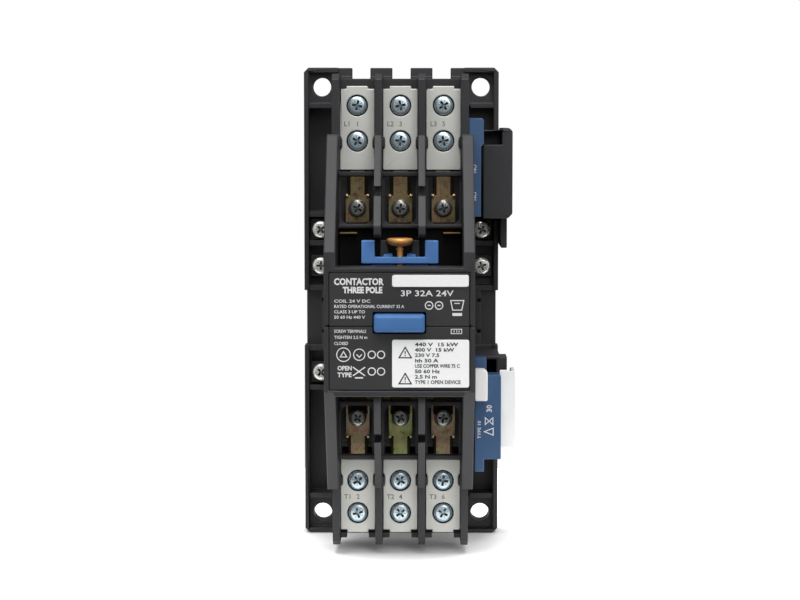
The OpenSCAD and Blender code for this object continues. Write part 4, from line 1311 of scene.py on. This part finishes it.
stroke(work, [(18.9, top - 10.6), (20.8, top - 10.6)], 0.30, PANEL_TOP)
stroke(work, [(18.2, top - 14.4), (21.5, top - 14.4)], 1.0, PANEL_TOP)
finish_print(work, "upper_panel_printing", "white_ink", "upper_panel")

left, right, bottom, top = node_span("lower_panel")
work = bmesh.new()
LOWER_LINES = (("SCREW TERMINALS", 11.0), ("TIGHTEN 2.5 N m", 11.4), ("CLOSED", 4.8))
for index, (text, width) in enumerate(LOWER_LINES):
    height = top - 1.5 - index * 2.1
    words(work, text, SMALL_CAPITAL, margin, height, PANEL_TOP, bold=0.02, width=width)
bar_box = [(17.8, top - 2.3), (17.8, top - 0.8), (21.4, top - 0.8), (21.4, top - 2.3)]
stroke(work, bar_box, 0.25, PANEL_TOP, closed=True)
for across in (18.8, 19.7, 20.5):
    stroke(work, [(across, top - 1.9), (across, top - 1.2)], 0.28, PANEL_TOP)
SMALL_RINGS = (-9.5, -6.3)
row = top - 9.6
ring(work, -19.2, row, 2.35, RING_PEN, PANEL_TOP)
stroke(work, [(-20.3, row - 0.8), (-19.2, row + 1.1), (-18.1, row - 0.8)], PEN, PANEL_TOP, closed=True)
ring(work, -13.8, row, 1.95, RING_PEN, PANEL_TOP)
stroke(work, [(-14.7, row + 0.1), (-13.8, row - 0.9), (-12.9, row + 0.1)], PEN, PANEL_TOP)
for across in SMALL_RINGS:
    ring(work, across, row, 1.25, SMALL_RING_PEN, PANEL_TOP)
row = top - 15.4
words(work, "OPEN", 1.5, -21.3, row + 1.15, PANEL_TOP, bold=0.07, width=4.9)
words(work, "TYPE", 1.5, -21.3, row - 1.15, PANEL_TOP, bold=0.07, width=4.9)
for rise, step in ((1, 0), (-1, 1)):
    crossing = [(-16.0, row - 1.5 * rise), (-11.8, row + 1.5 * rise)]
    stroke(work, crossing, BROAD_PEN, PANEL_TOP + OVERPRINT * step)
stroke(work, [(-15.3, row - 2.2), (-12.5, row - 2.2)], 0.5, PANEL_TOP)
for across in SMALL_RINGS:
    ring(work, across, row, 1.25, SMALL_RING_PEN, PANEL_TOP)
finish_print(work, "lower_panel_printing", "white_ink", "lower_panel")

# %% [markdown]
# The white rating label has eight short lines in black, and two caution triangles at its left.

# %% Rating label printing
left, right, bottom, top = node_span("rating_label")
film = node_top("rating_label")
work = bmesh.new()
RATING_LINES = (("440 V  15 kW", 15.0), ("400 V  15 kW", 13.6), ("230 V 7.5", 8.4), ("Ith 50 A", 8.0),
                ("USE COPPER WIRE 75 C", 15.4), ("50 60 Hz", 8.6), ("2.5 N m", 7.6),
                ("TYPE 1 OPEN DEVICE", 15.8))
RATING_CAPITAL = 1.2
RATING_LINE_STEP = 1.86
for index, (text, width) in enumerate(RATING_LINES):
    height = top - 1.6 - index * RATING_LINE_STEP
    words(work, text, RATING_CAPITAL, left + 7.8, height, film, bold=0.05, width=width)
for height in (top - 4.6, top - 13.6):
    centre = left + 4.5
    triangle = [(centre - 2.1, height - 1.6), (centre, height + 2.0), (centre + 2.1, height - 1.6)]
    stroke(work, triangle, 0.42, film, closed=True)
    stroke(work, [(centre, height + 0.7), (centre, height - 0.3)], BROAD_PEN, film)
    stroke(work, [(centre, height - 0.70), (centre, height - 1.05)], BROAD_PEN, film)
finish_print(work, "rating_label_printing", "black_ink", "rating_label")

# %% [markdown]
# Every terminal plate has its number printed between the two screws, with a pole mark beside it.

# %% Terminal numbers
NUMBER_CAPITAL = 1.75
# Each end: the height of its numbers, the letter of its pole marks and its first number.
TERMINAL_ENDS = {"line": (67.2, "L", 1), "load": (-68.1, "T", 2)}
for end, (height, letter, first) in TERMINAL_ENDS.items():
    for number, pole in enumerate(POLES, 1):
        work = bmesh.new()
        for text, across in ((f"{letter}{number}", pole - 3.6), (str(first + 2 * (number - 1)), pole + 0.1)):
            words(work, text, NUMBER_CAPITAL, across, height, PLATE_TOP, align="CENTER", bold=0.02)
        finish_print(work, f"{end}_terminal_number_{number}", "grey_ink", f"{end}_plate_{number}")

# %% [markdown]
# The blue side pieces have small white marks that read from the side, so they are turned by a right
# angle.

# %% Side marks
label_face = node_top("side_label")
left, right, bottom, top = node_span("side_label")
side_x = left + 2.0
work = bmesh.new()
for height in (top - 18.0, top - 27.8):
    words(work, "NO", 1.25, side_x, height, label_face, align="CENTER", bold=0.02, turn=90, width=2.9)
finish_print(work, "side_label_printing", "white_ink", "side_label")

cover_face = node_top("module_cover")
mark_x = node_span("module_cover")[1] - 4.3
work = bmesh.new()
triangle = [(mark_x - 1.7, -44.3), (mark_x + 1.5, -45.6), (mark_x + 1.5, -43.0)]
hourglass = [(mark_x - 1.4, -41.7), (mark_x - 1.4, -39.2), (mark_x + 1.4, -41.7), (mark_x + 1.4, -39.2)]
stroke(work, triangle, PEN, cover_face, closed=True)
stroke(work, hourglass, 0.3, cover_face, closed=True)
words(work, "30", 1.9, mark_x, -35.9, cover_face, align="CENTER", bold=0.03, turn=90)
words(work, "TYPE 10", 1.1, mark_x - 3.6, -43.6, cover_face, align="CENTER", bold=0.02, turn=90, width=6.5)
finish_print(work, "module_cover_printing", "white_ink", "module_cover")

# %% [markdown]
# ## Coil springs
#
# A coil spring gets shorter as the part it pushes on comes closer. Each spring is copied with a mesh of its
# own and the steel finish, and the copy stands for its node.

# %% Springs
# For each node: name of the piece, joint, axis number, and the fixed end and the travel in millimetres.
SPRINGS = {"return_springs": ("return_spring_coils", "carrier_slide", 1, -29.6, 5.5),
           "contact_springs": ("contact_spring_coils", "bridge_slide", 1, -66.0, 1.91),
           "rail_latch_spring": ("rail_latch_spring_coil", "latch_slide", 2, -38.0, 4.0)}
for node, (name, joint, axis_number, fixed_end, travel) in SPRINGS.items():
    mesh = frame["nodes"][node].data.copy()
    mesh.name = name
    piece = add_piece(name, mesh, "spring_steel", node)
    shade_smooth(mesh)
    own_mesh(piece)

# %% [markdown]
# ## Parts that keep the frame's own shape
#
# The winding, cushion, shading rings, armature pin and auxiliary contacts keep the frame's shape and only
# take their finish. The nodes that the screws, straps, pin and bar above stand for pass through the same
# loop. They are not shown, so this changes nothing.

# %% Finish the remaining nodes
kept = [name for name in frame["nodes"] if name in SLOT_OF and name not in SOFTENED and name not in SPRINGS]
for name in kept:
    if SLOT_OF[name] in FINISH:
        shown = frame["nodes"][name].data
        shown.materials.clear()
        shown.materials.append(FINISH[SLOT_OF[name]])
        shade_smooth(shown)
        shown.set_sharp_from_angle(angle=radians(30))
print("nodes finished in place, shown or not:", len(kept))
